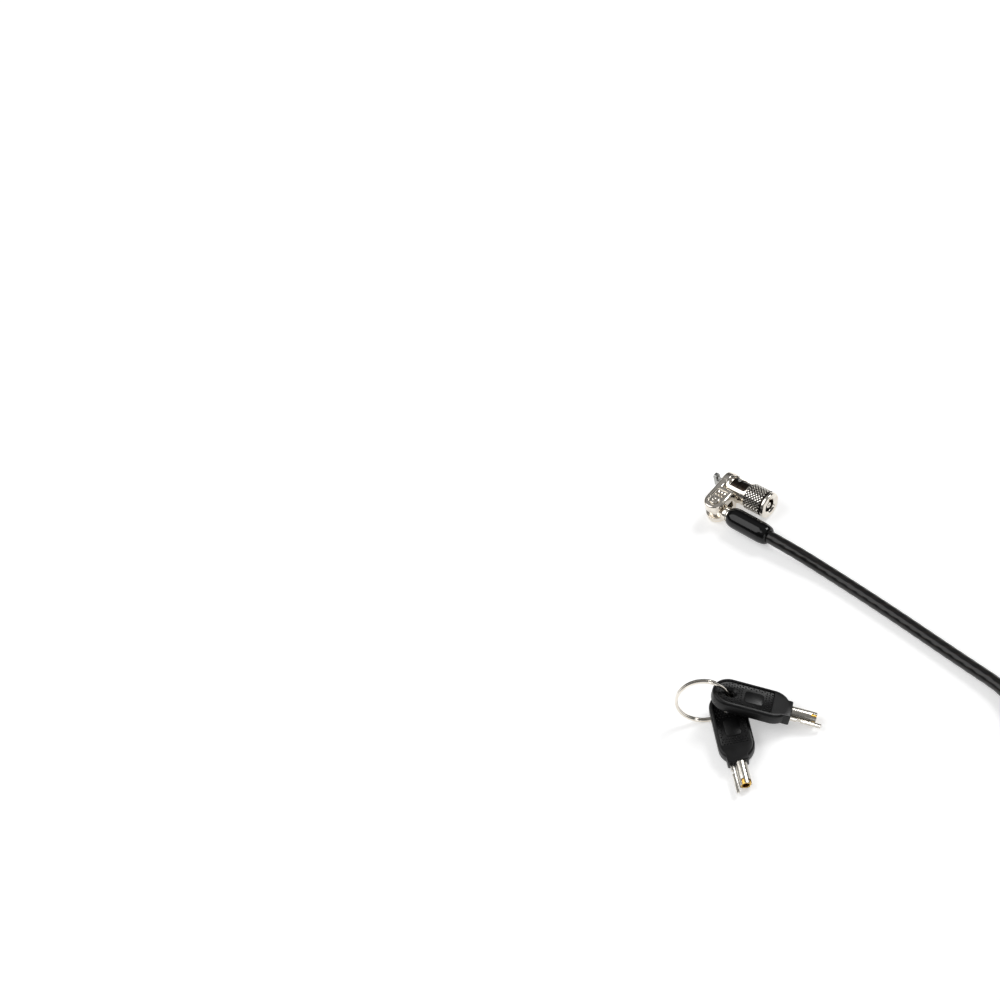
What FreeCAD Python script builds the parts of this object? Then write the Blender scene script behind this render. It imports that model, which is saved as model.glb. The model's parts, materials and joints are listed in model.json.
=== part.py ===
"""Cable lock for the security slot of a laptop, with its steel cable and its two keys.

Millimetres. X runs along the lock barrel, from the slot face at x = 0 to the keyway.
The cable lug points towards -Y and Z is up. The lock lies on a table at z = TABLE_Z.
"""
import FreeCAD, Part
import math
import os

from FreeCAD import Placement, Rotation, Vector

# ---- lock barrel -------------------------------------------------------------
COLLAR_RADIUS = 5.6
COLLAR_LENGTH = 3.0
COLLAR_WALL = 2.6            # thickness of the wall behind the slot face
COLLAR_CHAMFER = 0.5
SPIGOT_LENGTH = 1.5          # the collar's spigot inside the sleeve
SPIGOT_WALL = 1.4
SLEEVE_RADIUS = 5.3
SLEEVE_WALL = 0.7
GRIP_RADIUS = 5.75
GRIP_LENGTH = 10.6
GRIP_FRONT_WALL = 2.0        # end wall of the grip, round the keyway
GRIP_BEVEL = 0.6
GRIP_REAR_BEVEL = 0.3
KEYWAY_BEVEL = 0.7
MARK_RADIUS = 0.7            # half-round notch at the keyway that shows how the key goes in
MARK_DEPTH = 0.9
BARREL_LENGTH = 23.8
WINDOW_START = 4.0
WINDOW_LENGTH = 8.6
WINDOW_FROM, WINDOW_TO = 62.0, 148.0   # degrees round the barrel, from -Y up over +Z
CYLINDER_WALL = 1.25
FIT = 0.04                   # radial clearance of turning and sliding fits
SEAT = 0.02                  # radial clearance of pieces that are pressed or screwed together

# ---- tubular lock ------------------------------------------------------------
KEY_TUBE_RADIUS = 2.5
KEY_TUBE_WALL = 0.5
KEY_LINER_WALL = 0.5
KEYWAY_RADIUS = KEY_TUBE_RADIUS + 0.3
POST_RADIUS = KEY_TUBE_RADIUS - KEY_TUBE_WALL - KEY_LINER_WALL - 0.15
POST_RECESS = 0.8            # from the end of the grip back to the post
PLUG_LENGTH = 5.3
PIN_COUNT = 5
PIN_RADIUS = 0.45
PIN_CIRCLE = 2.05
PIN_GAP = 0.03               # from a pin's end to the shear line
SHEAR_GAP = 0.02             # from the block or the plug to the shear line
DRIVER_LENGTH = 2.8
SPRING_LENGTH = 3.4
SPRING_WIRE = 0.14
SPRING_TURNS = 5
SPINDLE_RADIUS = 1.3
SPINDLE_SQUARE = 1.768       # across the square end that the plug drives
SPINDLE_SQUARE_LENGTH = 3.0
CROSSBAR_LENGTH, CROSSBAR_HEIGHT, CROSSBAR_THICKNESS = 6.4, 2.5, 1.6
CROSSBAR_FILLET = 0.7
SLOT_DEPTH = 3.6             # from the slot face to the crossbar
PRONG_WIDTH, PRONG_HEIGHT, PRONG_REACH = 1.6, 2.5, 1.6
PRONG_GAP = 0.35             # between spindle and prong
PRONG_ROOT = 1.8             # depth of a prong in the collar
CLIP_GROOVE, CLIP_GROOVE_DEPTH, CLIP_REACH = 0.5, 0.35, 0.9
RETAINING_PIN_RADIUS = 0.75
RETAINING_PIN_X = WINDOW_START + 3.0
RETAINING_PIN_ANGLE = 110.0  # both angles are measured like the window's
MARK_ANGLE = 90.0
RETAINING_PIN_ROOT = 0.6     # depth of the pin in the driver block
RETAINING_PIN_TOP = 0.15     # pin end below the outside of the sleeve

# ---- cable lug and swivel ----------------------------------------------------
LUG_WIDTH = 9.0
LUG_INNER_Y = -5.0           # end of the ears beside the sleeve; over the collar they reach the axis
PIVOT_X, PIVOT_Y = 4.5, -12.6
LUG_TOP, LUG_SLOT_TOP, LUG_SLOT_BOTTOM, LUG_BOTTOM = 5.4, 1.5, -2.1, -5.2
LUG_CHAMFER = 0.9
LUG_PANEL_DEPTH = 0.5
LUG_PANEL_MARGIN = 1.7
LUG_PANEL_END = 1.4          # from the panel to the sleeve
LUG_WEB = 1.6                # web between the ears, outside the sleeve
RIB_COUNT, RIB_PITCH, RIB_WIDTH = 3, 1.5, 0.8
RIB_INSET = 0.9              # from the panel's side to the first rib
RIB_START, RIB_END = 2.9, 0.7  # from the pivot, and from the end of the panel
PIVOT_PIN_RADIUS = 1.4
RIVET_HEAD_RADIUS = 2.1
RIVET_CROWN = 0.35
RIVET_END = 0.1              # rivet end inside the lower ear, and head above the upper one
KNUCKLE_SIDE_GAP = 0.1
KNUCKLE_RADIUS = 3.4
BOSS_START = 4.95            # from the pivot pin, along the cable
BOSS_LENGTH = 2.0
BOSS_RADIUS = 3.2
BOSS_BEVEL = 0.3
KNUCKLE_ARM_WIDTH = 4.8
STUD_SEAT = 0.9              # from the pivot pin to the room for the stud's head
STUD_ROOM = 0.85             # thickness of the boss and arm that hold the stud
STUD_RADIUS = 1.1
STUD_HEAD_RADIUS = 1.6
STUD_HEAD_GAP = 0.25
STUD_HEAD_BEVEL = 0.3
STUD_SLACK = 0.2             # from the pivot pin's side of the room to the stud's head
STUD_TAIL_RADIUS = 2.1
STUD_TAIL_GAP = 3.0          # from the stud's tail to the cable, inside the crimp
WASHER_THICKNESS = 0.4
FERRULE_RADIUS = 4.5
FERRULE_LENGTH = 20.9
FERRULE_DOME, FERRULE_DOME_RADIUS = 3.0, 2.6
FERRULE_SHOULDER, FERRULE_LIP = 2.2, 0.45
CRIMP_RADIUS = 3.5
CABLE_ANGLE = -1.5           # of the ferrule, in plan

# ---- cable -------------------------------------------------------------------
CABLE_DIAMETER = 5.5
TIE_THICKNESS = 0.8
TIE_WIDTH = 12.0
TIE_ANGLE = 115.0
COIL_COLUMNS, COIL_LAYERS = 4, 2
COIL_MEAN_RADIUS = 30.0
COIL_CENTRE = (208.5, -21.3)
EYE_RADIUS = 17.0
EYE_NECK = 31.0              # from the sleeve to the centre of the eye
LOOP_SLEEVE_LENGTH = 24.0
LOOP_SLEEVE_WALL = 0.5
LOOP_CRIMP_WALL = 0.5
LOOP_CRIMP_LENGTH = 18.0

# ---- keys and ring -----------------------------------------------------------
KEY_HEAD_WIDTH = 14.4
KEY_HEAD_LENGTH = 31.2
KEY_HEAD_THICKNESS = 5.0
KEY_HEAD_FILLET = 0.8
KEY_PANEL_DEPTH = 0.6
KEY_PANEL_MARGIN = 1.5
KEY_PANEL_END = 0.2          # end of the panel, past the centre of the round end
KEY_HOLE_RADIUS = 1.8
KEY_HOLE_FLARE = 1.4
KEY_NECK_LENGTH = 4.6
KEY_NECK_REACH = 0.6         # past the end of the head
KEY_NECK_WALL, KEY_NECK_BAR_WALL, KEY_NECK_SKIN = 1.0, 0.9, 0.35
KEY_NECK_FILLET = 1.1
KEY_TUBE_LENGTH = 10.5
KEY_BAR_SIDE = 1.3
KEY_BAR_REACH = 2.4          # past the end of the tube
KEY_BAR_GAP = 0.3            # between bar and tube
KEY_BAR_ROOT = 3.8           # length of the bar inside the neck
KEY_BAR_NOTCH, KEY_BAR_NOTCH_DEPTH, KEY_BAR_NOTCH_PLACE = 1.6, 0.65, 3.2
KEY_BAR_TIP = 0.25
KEY_LINER_ROOT = 3.0         # length of the liner inside the neck
KEY_NOTCH_WIDTH = 1.3
KEY_NOTCH_ANGLE = 20.0       # of the first notch round the tube
KEY_NOTCHES = (2.2, 1.4, 2.4, 1.1, 1.8)
RING_RADIUS = 11.0
RING_WIRE_RADIAL, RING_WIRE_AXIAL = 1.1, 0.9
RING_SINGLE = 60.0           # half the angle over which the ring is a single wire
RING_JOG = 6.0               # angle over which the two turns pass the wire's ends
RING_TURN_GAP = 0.04         # between the two turns

# ---- what follows from them --------------------------------------------------
TABLE_Z = -GRIP_RADIUS
CABLE_RADIUS = CABLE_DIAMETER / 2
GRIP_START = BARREL_LENGTH - GRIP_LENGTH
SLEEVE_BORE = SLEEVE_RADIUS - SLEEVE_WALL
CYLINDER_RADIUS = SLEEVE_BORE - SEAT
CYLINDER_BORE = CYLINDER_RADIUS - CYLINDER_WALL
SPIGOT_END = COLLAR_LENGTH + SPIGOT_LENGTH
CLIP_START = COLLAR_WALL + 0.1
CYLINDER_START = SPIGOT_END + 0.1
CYLINDER_END = BARREL_LENGTH - GRIP_FRONT_WALL
PLUG_END = CYLINDER_END - 2.3
SHEAR_LINE = PLUG_END - PLUG_LENGTH
BLOCK_START = CYLINDER_START + 0.6
LUG_MIDDLE_Z = (LUG_SLOT_TOP + LUG_SLOT_BOTTOM) / 2
STUD_ROOM_START = PIVOT_PIN_RADIUS + STUD_SEAT
BOSS_END = BOSS_START + BOSS_LENGTH
WASHER_START = BOSS_END + 0.05
FERRULE_START = WASHER_START + WASHER_THICKNESS + 0.05
FERRULE_END = FERRULE_START + FERRULE_LENGTH
CRIMP_START = FERRULE_START + 1.6
CRIMP_END = FERRULE_END - 4.2
CABLE_START = CRIMP_START + 10.0
COIL_BOTTOM = TABLE_Z + TIE_THICKNESS
COIL_TOP = COIL_BOTTOM + COIL_LAYERS * CABLE_DIAMETER
COIL_INNER = COIL_MEAN_RADIUS - COIL_COLUMNS * CABLE_RADIUS
COIL_OUTER = COIL_MEAN_RADIUS + COIL_COLUMNS * CABLE_RADIUS
KEY_JOINT = KEY_HEAD_LENGTH - KEY_HEAD_WIDTH / 2   # end of the head, from the ring hole
KEY_NECK_START = KEY_JOINT - KEY_NECK_LENGTH
KEY_NECK_END = KEY_JOINT + KEY_NECK_REACH
KEY_TUBE_START = KEY_NECK_START - 1 + SEAT
KEY_TUBE_END = KEY_JOINT + KEY_TUBE_LENGTH
KEY_BAR_END = KEY_TUBE_END + KEY_BAR_REACH

X_AXIS = Vector(1, 0, 0)
Z_AXIS = Vector(0, 0, 1)

# ---- small helpers -----------------------------------------------------------


def rod(radius, start, end, y=0.0, z=0.0):
    """A cylinder along X."""
    return Part.makeCylinder(radius, end - start, Vector(start, y, z), X_AXIS)


def upright(radius, bottom, top, x=0.0, y=0.0):
    """A cylinder along Z."""
    return Part.makeCylinder(radius, top - bottom, Vector(x, y, bottom), Z_AXIS)


def box(low, high):
    size = [b - a for a, b in zip(low, high)]
    return Part.makeBox(size[0], size[1], size[2], Vector(*low))


def turned(profile):
    """A solid turned round the X axis from (x, radius) points."""
    points = [Vector(x, radius, 0) for x, radius in profile]
    face = Part.Face(Part.makePolygon(points + [points[0]]))
    return face.revolve(Vector(0, 0, 0), X_AXIS, 360)


def bulge(start, radius, depth, end_radius, steps=6):
    """Points of a quarter-round end that grows from end_radius to radius over depth."""
    points = []
    for step in range(steps + 1):
        angle = math.radians(90.0 * step / steps)
        x = start + depth * (1 - math.cos(angle))
        points.append((x, end_radius + (radius - end_radius) * math.sin(angle)))
    return points


def stadium(length, width, bottom, top):
    """A stadium block along X: one round end is centred at the origin, the other at length."""
    half = width / 2
    arc_1 = Part.Arc(Vector(0, half, bottom), Vector(-half, 0, bottom), Vector(0, -half, bottom))
    arc_2 = Part.Arc(
        Vector(length, -half, bottom), Vector(length + half, 0, bottom), Vector(length, half, bottom)
    )
    edges = [
        arc_1.toShape(),
        Part.LineSegment(Vector(0, -half, bottom), Vector(length, -half, bottom)).toShape(),
        arc_2.toShape(),
        Part.LineSegment(Vector(length, half, bottom), Vector(0, half, bottom)).toShape(),
    ]
    return Part.Face(Part.Wire(edges)).extrude(Vector(0, 0, top - bottom))


def tube_along(points, radius):
    """A tube whose path is straight runs joined by tangent arcs; returns it with its radii."""
    points = [Vector(*p) for p in points]
    edges = []
    radii = []
    start = points[0]
    for before, corner, after in zip(points, points[1:], points[2:]):
        shorter = min((corner - before).Length, (after - corner).Length)
        along_in = (corner - before).normalize()
        along_out = (after - corner).normalize()
        half_turn = along_in.getAngle(along_out) / 2
        trim = 0.45 * shorter
        radii.append(trim / math.tan(half_turn))
        arc_start = corner - along_in * trim
        arc_end = corner + along_out * trim
        inward = (along_out - along_in).normalize()
        depth = radii[-1] * (1 / math.cos(half_turn) - 1)
        middle = corner + inward * depth
        edges.append(Part.LineSegment(start, arc_start).toShape())
        edges.append(Part.Arc(arc_start, middle, arc_end).toShape())
        start = arc_end
    edges.append(Part.LineSegment(start, points[-1]).toShape())
    path = Part.Wire(edges)
    first = (points[1] - points[0]).normalize()
    section = Part.Wire([Part.makeCircle(radius, points[0], first)])
    tube = path.makePipeShell([section], True, False)
    return tube, path.Length, radii


def save(name, shape):
    solids = shape.Solids
    assert solids, name
    shape = solids[0] if len(solids) == 1 else Part.makeCompound(solids)
    shape.exportStep("parts/" + name + ".step")
    print("%-16s solids %d  volume %.2f  valid %s" % (name, len(solids), shape.Volume, shape.isValid()))


# ---- placements --------------------------------------------------------------
CABLE_AXIS = Placement(Vector(PIVOT_X, PIVOT_Y, LUG_MIDDLE_Z), Rotation(Z_AXIS, CABLE_ANGLE))


def on_cable_axis(shape):
    shape.Placement = CABLE_AXIS.multiply(shape.Placement)
    return shape


# ---- lock head ---------------------------------------------------------------


def barrel_point(radius, angle):
    """A point round the barrel, the angle measured from -Y up over +Z."""
    turn = math.radians(angle)
    return -radius * math.cos(turn), radius * math.sin(turn)


def lug_ear(bottom, top, chamfered):
    """One ear of the lug, from the barrel axis to its round end at the pivot."""
    ear = stadium(LUG_WIDTH, LUG_WIDTH, bottom, top)
    ear.rotate(Vector(0, 0, 0), Z_AXIS, 90)
    ear.translate(Vector(PIVOT_X, PIVOT_Y, 0))
    ear = ear.fuse(box((0, PIVOT_Y, bottom), (LUG_WIDTH, LUG_INNER_Y, top)))
    ear = ear.fuse(box((0, PIVOT_Y, bottom), (COLLAR_LENGTH, 0, top))).removeSplitter()
    rim = [
        edge
        for edge in ear.Edges
        if all(abs(v.Z - chamfered) < 1e-6 for v in edge.Vertexes)
        and (edge.BoundBox.YMin < LUG_INNER_Y - 0.1 or edge.BoundBox.XMax < 0.1)
        and abs(edge.BoundBox.ZMax - chamfered) < 1e-6
    ]
    return ear.makeChamfer(LUG_CHAMFER, rim)


def lug_panel():
    """The sunk panel on the upper ear, with plain ribs beside the pivot pin."""
    width = LUG_WIDTH - 2 * LUG_PANEL_MARGIN
    floor = LUG_TOP - LUG_PANEL_DEPTH
    length = -PIVOT_Y - SLEEVE_RADIUS - LUG_PANEL_END
    panel = stadium(width, width, floor, LUG_TOP + 1)
    panel.rotate(Vector(0, 0, 0), Z_AXIS, 90)
    panel.translate(Vector(PIVOT_X, PIVOT_Y, 0))
    square = box(
        (PIVOT_X - width / 2, PIVOT_Y, floor), (PIVOT_X + width / 2, PIVOT_Y + length, LUG_TOP + 1)
    )
    panel = panel.common(box((0, -40, floor), (LUG_WIDTH, PIVOT_Y, LUG_TOP + 1))).fuse(square)
    for number in range(RIB_COUNT):
        x = PIVOT_X - width / 2 + RIB_INSET + number * RIB_PITCH
        rib = box((x, PIVOT_Y + RIB_START, floor), (x + RIB_WIDTH, PIVOT_Y + length - RIB_END, LUG_TOP + 1))
        panel = panel.cut(rib)
    return panel


def lug_casting():
    collar = turned([
        (0, 0), (0, COLLAR_RADIUS - COLLAR_CHAMFER), (COLLAR_CHAMFER, COLLAR_RADIUS),
        (COLLAR_LENGTH, COLLAR_RADIUS), (COLLAR_LENGTH, SLEEVE_BORE - SEAT), (SPIGOT_END, SLEEVE_BORE - SEAT),
        (SPIGOT_END, 0),
    ])
    barrel_room = rod(SLEEVE_RADIUS + SEAT, COLLAR_LENGTH, LUG_WIDTH + 1)
    ears = lug_ear(LUG_SLOT_TOP, LUG_TOP, LUG_TOP).fuse(lug_ear(LUG_BOTTOM, LUG_SLOT_BOTTOM, LUG_BOTTOM))
    web = box((0, -SLEEVE_RADIUS - LUG_WEB, LUG_SLOT_BOTTOM - 1), (LUG_WIDTH, 0, LUG_SLOT_TOP + 1))
    body = collar.fuse(ears.fuse(web).cut(barrel_room))
    body = body.cut(rod(SPINDLE_RADIUS + FIT, -1, COLLAR_WALL + 1))
    body = body.cut(rod(SLEEVE_BORE - SPIGOT_WALL, COLLAR_WALL, SPIGOT_END + 1))
    body = body.cut(upright(PIVOT_PIN_RADIUS + SEAT, LUG_BOTTOM - 1, LUG_TOP + 1, PIVOT_X, PIVOT_Y))
    body = body.cut(lug_panel())
    for prong in prong_shapes(SEAT):
        body = body.cut(prong)
    return body.removeSplitter()


def prong_shapes(room=0.0):
    """Two pins either side of the spindle that stop the lock turning in the slot."""
    prongs = []
    inner = SPINDLE_RADIUS + PRONG_GAP
    for side in (-1, 1):
        low, high = sorted((side * inner, side * (inner + PRONG_WIDTH)))
        prongs.append(box(
            (-PRONG_REACH, low - room, -PRONG_HEIGHT / 2 - room),
            (PRONG_ROOT + room, high + room, PRONG_HEIGHT / 2 + room),
        ))
    return prongs


def slot_prongs():
    return Part.makeCompound(prong_shapes())


def clevis_pin():
    """A rivet through both ears, its head in the panel of the upper one."""
    floor = LUG_TOP - LUG_PANEL_DEPTH
    shank = upright(PIVOT_PIN_RADIUS, LUG_BOTTOM + RIVET_END, floor, PIVOT_X, PIVOT_Y)
    head = upright(RIVET_HEAD_RADIUS, floor, LUG_TOP + RIVET_END, PIVOT_X, PIVOT_Y)
    crown = [edge for edge in head.Edges if edge.BoundBox.ZMin > LUG_TOP]
    return shank.fuse(head.makeFillet(RIVET_CROWN, crown)).removeSplitter()


def barrel_sleeve():
    sleeve = rod(SLEEVE_RADIUS, COLLAR_LENGTH, GRIP_START)
    sleeve = sleeve.cut(rod(SLEEVE_BORE, COLLAR_LENGTH - 1, GRIP_START + 1))
    far = SLEEVE_RADIUS * 2
    corners = [(0.0, 0.0)]
    for angle in (WINDOW_FROM, (WINDOW_FROM + WINDOW_TO) / 2, WINDOW_TO):
        corners.append(barrel_point(far, angle))
    points = [Vector(WINDOW_START, y, z) for y, z in corners]
    wedge = Part.Face(Part.makePolygon(points + [points[0]])).extrude(Vector(WINDOW_LENGTH, 0, 0))
    return sleeve.cut(wedge)


def knurled_grip():
    """The barrel that the fingers turn, with a round keyway and a mark beside it."""
    mouth = KEYWAY_RADIUS + KEYWAY_BEVEL
    grip = turned([
        (GRIP_START, SLEEVE_BORE + FIT), (GRIP_START, GRIP_RADIUS - GRIP_REAR_BEVEL),
        (GRIP_START + GRIP_REAR_BEVEL, GRIP_RADIUS), (BARREL_LENGTH - GRIP_BEVEL, GRIP_RADIUS),
        (BARREL_LENGTH, GRIP_RADIUS - GRIP_BEVEL), (BARREL_LENGTH, mouth),
        (BARREL_LENGTH - KEYWAY_BEVEL, KEYWAY_RADIUS), (CYLINDER_END, KEYWAY_RADIUS),
        (CYLINDER_END, SLEEVE_BORE + FIT),
    ])
    y, z = barrel_point(mouth + 0.5, MARK_ANGLE)
    return grip.cut(rod(MARK_RADIUS, BARREL_LENGTH - MARK_DEPTH, BARREL_LENGTH + 1, y, z))


def retaining_pin_at(radius, inner, outer):
    y, z = barrel_point(1.0, RETAINING_PIN_ANGLE)
    start = Vector(RETAINING_PIN_X, y * inner, z * inner)
    return Part.makeCylinder(radius, outer - inner, start, Vector(0, y, z))


def lock_cylinder():
    case = turned([
        (CYLINDER_START, CYLINDER_BORE), (CYLINDER_START, CYLINDER_RADIUS), (CYLINDER_END, CYLINDER_RADIUS),
        (CYLINDER_END, KEYWAY_RADIUS), (PLUG_END + FIT, KEYWAY_RADIUS), (PLUG_END + FIT, CYLINDER_BORE),
    ])
    return case.cut(retaining_pin_at(RETAINING_PIN_RADIUS + SEAT, 1.0, SLEEVE_RADIUS))


def pin_places():
    for number in range(PIN_COUNT):
        yield barrel_point(PIN_CIRCLE, 90.0 + 360.0 * number / PIN_COUNT)


def driver_block():
    """The fixed rear block, with the blind bores of the springs and driver pins."""
    block = rod(CYLINDER_BORE - SEAT, BLOCK_START, SHEAR_LINE - SHEAR_GAP)
    block = block.cut(rod(SPINDLE_RADIUS + FIT, BLOCK_START - 1, SHEAR_LINE + 1))
    depth = DRIVER_LENGTH + SPRING_LENGTH
    for y, z in pin_places():
        block = block.cut(rod(PIN_RADIUS + FIT, SHEAR_LINE - depth, SHEAR_LINE + 1, y, z))
    room = retaining_pin_at(RETAINING_PIN_RADIUS + SEAT, CYLINDER_BORE - RETAINING_PIN_ROOT, SLEEVE_RADIUS)
    return block.cut(room)


def retaining_pin():
    """Holds the driver block in its cylinder; its head shows in the window of the sleeve."""
    outer = SLEEVE_RADIUS - RETAINING_PIN_TOP
    return retaining_pin_at(RETAINING_PIN_RADIUS, CYLINDER_BORE - RETAINING_PIN_ROOT, outer)


def driver_pins():
    end = SHEAR_LINE - PIN_GAP
    pins = [rod(PIN_RADIUS, end - DRIVER_LENGTH, end, y, z) for y, z in pin_places()]
    return Part.makeCompound(pins)


def tumbler_springs():
    """One coil spring behind each driver pin, in the same bore."""
    springs = []
    start = SHEAR_LINE - DRIVER_LENGTH - SPRING_LENGTH + SEAT
    reach = SPRING_LENGTH - PIN_GAP - 2.5 * SEAT
    pitch = (reach - 2 * SPRING_WIRE) / SPRING_TURNS
    helix = Part.makeHelix(pitch, pitch * SPRING_TURNS, PIN_RADIUS - SPRING_WIRE)
    ring = Part.makeCircle(SPRING_WIRE, Vector(PIN_RADIUS - SPRING_WIRE, 0, 0), Vector(0, 1, 0))
    section = Part.Wire([ring])
    coil = Part.Wire(helix.Edges).makePipeShell([section], True, True)
    coil.rotate(Vector(0, 0, 0), Vector(0, 1, 0), 90)
    for y, z in pin_places():
        spring = coil.copy()
        spring.translate(Vector(start + SPRING_WIRE, y, z))
        springs.append(spring)
    return Part.makeCompound(springs)


def plug_rotor():
    plug = rod(CYLINDER_BORE - FIT, SHEAR_LINE + SHEAR_GAP, PLUG_END)
    plug = plug.fuse(rod(POST_RADIUS, PLUG_END - 0.5, BARREL_LENGTH - POST_RECESS))
    for y, z in pin_places():
        plug = plug.cut(rod(PIN_RADIUS + FIT, SHEAR_LINE - 1, PLUG_END + 1, y, z))
    return plug.cut(spindle_tail(SEAT)).removeSplitter()


def key_pins():
    start, end = SHEAR_LINE + PIN_GAP, PLUG_END - 0.1
    pins = [rod(PIN_RADIUS, start, end, y, z) for y, z in pin_places()]
    return Part.makeCompound(pins)


def spindle_tail(room=0.0):
    """The square end of the spindle, driven by the plug."""
    half = SPINDLE_SQUARE / 2 + room
    return box((SHEAR_LINE - 1, -half, -half), (SHEAR_LINE + SPINDLE_SQUARE_LENGTH + room, half, half))


def tbar_spindle():
    shank = rod(SPINDLE_RADIUS, -SLOT_DEPTH - 0.5, SHEAR_LINE)
    bar = box(
        (-SLOT_DEPTH - CROSSBAR_THICKNESS, -CROSSBAR_HEIGHT / 2, -CROSSBAR_LENGTH / 2),
        (-SLOT_DEPTH, CROSSBAR_HEIGHT / 2, CROSSBAR_LENGTH / 2),
    )
    ends = [edge for edge in bar.Edges if abs(edge.BoundBox.ZLength) < 1e-6 and edge.BoundBox.XLength > 1]
    spindle = shank.fuse(bar.makeFillet(CROSSBAR_FILLET, ends)).fuse(spindle_tail())
    groove = rod(SPINDLE_RADIUS + 1, CLIP_START, CLIP_START + CLIP_GROOVE)
    groove = groove.cut(rod(SPINDLE_RADIUS - CLIP_GROOVE_DEPTH, COLLAR_WALL, COLLAR_WALL + 1))
    return spindle.cut(groove).removeSplitter()


def spindle_clip():
    """The spring clip in the spindle's groove, open on one side."""
    inner = SPINDLE_RADIUS - CLIP_GROOVE_DEPTH
    clip = rod(SPINDLE_RADIUS + CLIP_REACH, CLIP_START + SEAT, CLIP_START + CLIP_GROOVE - SEAT)
    clip = clip.cut(rod(inner + SEAT, COLLAR_WALL, COLLAR_WALL + 1))
    mouth = inner * 0.8
    return clip.cut(box((COLLAR_WALL, -mouth, -5), (COLLAR_WALL + 1, mouth, 0)))


# ---- swivel and cable end ----------------------------------------------------


def pivot_knuckle():
    """The eye on the pivot pin, and the round boss in which the cable's stud turns."""
    half = (LUG_SLOT_TOP - LUG_SLOT_BOTTOM) / 2 - KNUCKLE_SIDE_GAP
    arm = KNUCKLE_ARM_WIDTH / 2
    eye = upright(KNUCKLE_RADIUS, -half, half)
    eye = eye.fuse(box((0, -arm, -half), (BOSS_START + 0.5, arm, half)))
    boss = turned([
        (BOSS_START, 0), (BOSS_START, BOSS_RADIUS - BOSS_BEVEL), (BOSS_START + BOSS_BEVEL, BOSS_RADIUS),
        (BOSS_END - BOSS_BEVEL, BOSS_RADIUS), (BOSS_END, BOSS_RADIUS - BOSS_BEVEL), (BOSS_END, 0),
    ])
    knuckle = eye.fuse(boss)
    knuckle = knuckle.cut(upright(PIVOT_PIN_RADIUS + FIT, -half - 1, half + 1))
    knuckle = knuckle.cut(rod(STUD_RADIUS + FIT, STUD_ROOM_START, BOSS_END + 1))
    side = STUD_HEAD_RADIUS + STUD_HEAD_GAP
    window = box((STUD_ROOM_START, -side, -half - 1), (BOSS_START - STUD_ROOM, side, half + 1))
    return on_cable_axis(knuckle.cut(window).removeSplitter())


def swivel_stud():
    """Turns in the knuckle; its head is riveted over inside, its tail is held by the crimp."""
    head_start = STUD_ROOM_START + STUD_SLACK
    head_end = BOSS_START - STUD_ROOM - 0.15
    tail_end = CABLE_START - STUD_TAIL_GAP
    stud = turned([
        (head_start, 0), (head_start, STUD_HEAD_RADIUS - STUD_HEAD_BEVEL),
        (head_start + STUD_HEAD_BEVEL, STUD_HEAD_RADIUS), (head_end, STUD_HEAD_RADIUS),
        (head_end, STUD_RADIUS), (CRIMP_START, STUD_RADIUS), (CRIMP_START, STUD_TAIL_RADIUS),
        (tail_end, STUD_TAIL_RADIUS), (tail_end, 0),
    ])
    return on_cable_axis(stud)


def swivel_washer():
    washer = rod(BOSS_RADIUS - 0.3, WASHER_START, WASHER_START + WASHER_THICKNESS)
    return on_cable_axis(washer.cut(rod(STUD_RADIUS + SEAT, WASHER_START - 1, WASHER_START + 1)))


def crimp_tube():
    tube = turned([
        (CRIMP_START, STUD_TAIL_RADIUS + SEAT), (CRIMP_START, CRIMP_RADIUS), (CRIMP_END, CRIMP_RADIUS),
        (CRIMP_END, CABLE_RADIUS + SEAT), (CABLE_START - 2.0, CABLE_RADIUS + SEAT),
        (CABLE_START - 2.0, STUD_TAIL_RADIUS + SEAT),
    ])
    return on_cable_axis(tube)


def cable_ferrule():
    """The moulded black barrel over the cable end."""
    outside = bulge(FERRULE_START, FERRULE_RADIUS, FERRULE_DOME, FERRULE_DOME_RADIUS)
    shoulder = bulge(0.0, FERRULE_RADIUS, FERRULE_SHOULDER, CABLE_RADIUS + FERRULE_LIP)
    outside += [(FERRULE_END - x, r) for x, r in reversed(shoulder)]
    inside = [
        (FERRULE_END, CABLE_RADIUS + SEAT), (CRIMP_END, CABLE_RADIUS + SEAT),
        (CRIMP_END, CRIMP_RADIUS + SEAT), (CRIMP_START, CRIMP_RADIUS + SEAT),
        (CRIMP_START, STUD_RADIUS + SEAT), (FERRULE_START, STUD_RADIUS + SEAT),
    ]
    return on_cable_axis(turned(outside + inside))


def along_cable_axis(distance):
    return CABLE_AXIS.multVec(Vector(distance, 0, 0))


FLOOR_LINE = TABLE_Z + CABLE_RADIUS + 0.02       # height of a cable that lies on the table
TOP_TURN = COIL_TOP - CABLE_RADIUS               # height of the coil's upper turns
TURN_RADIUS = COIL_OUTER - CABLE_RADIUS          # radius of the coil's outer turn
TANGENT_ANGLE = -45.0                            # heading of the cable where it meets the coil


def coil_tangent(distance, height):
    """A point on the line that touches the coil's outer turn, so far past the touching point."""
    heading = math.radians(TANGENT_ANGLE)
    x = COIL_CENTRE[0] + TURN_RADIUS * math.sin(heading) + distance * math.cos(heading)
    y = COIL_CENTRE[1] - TURN_RADIUS * math.cos(heading) + distance * math.sin(heading)
    return (x, y, height)


def coil_room():
    return upright(COIL_OUTER + SEAT, COIL_BOTTOM - 5, COIL_TOP + 5, *COIL_CENTRE)


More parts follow.
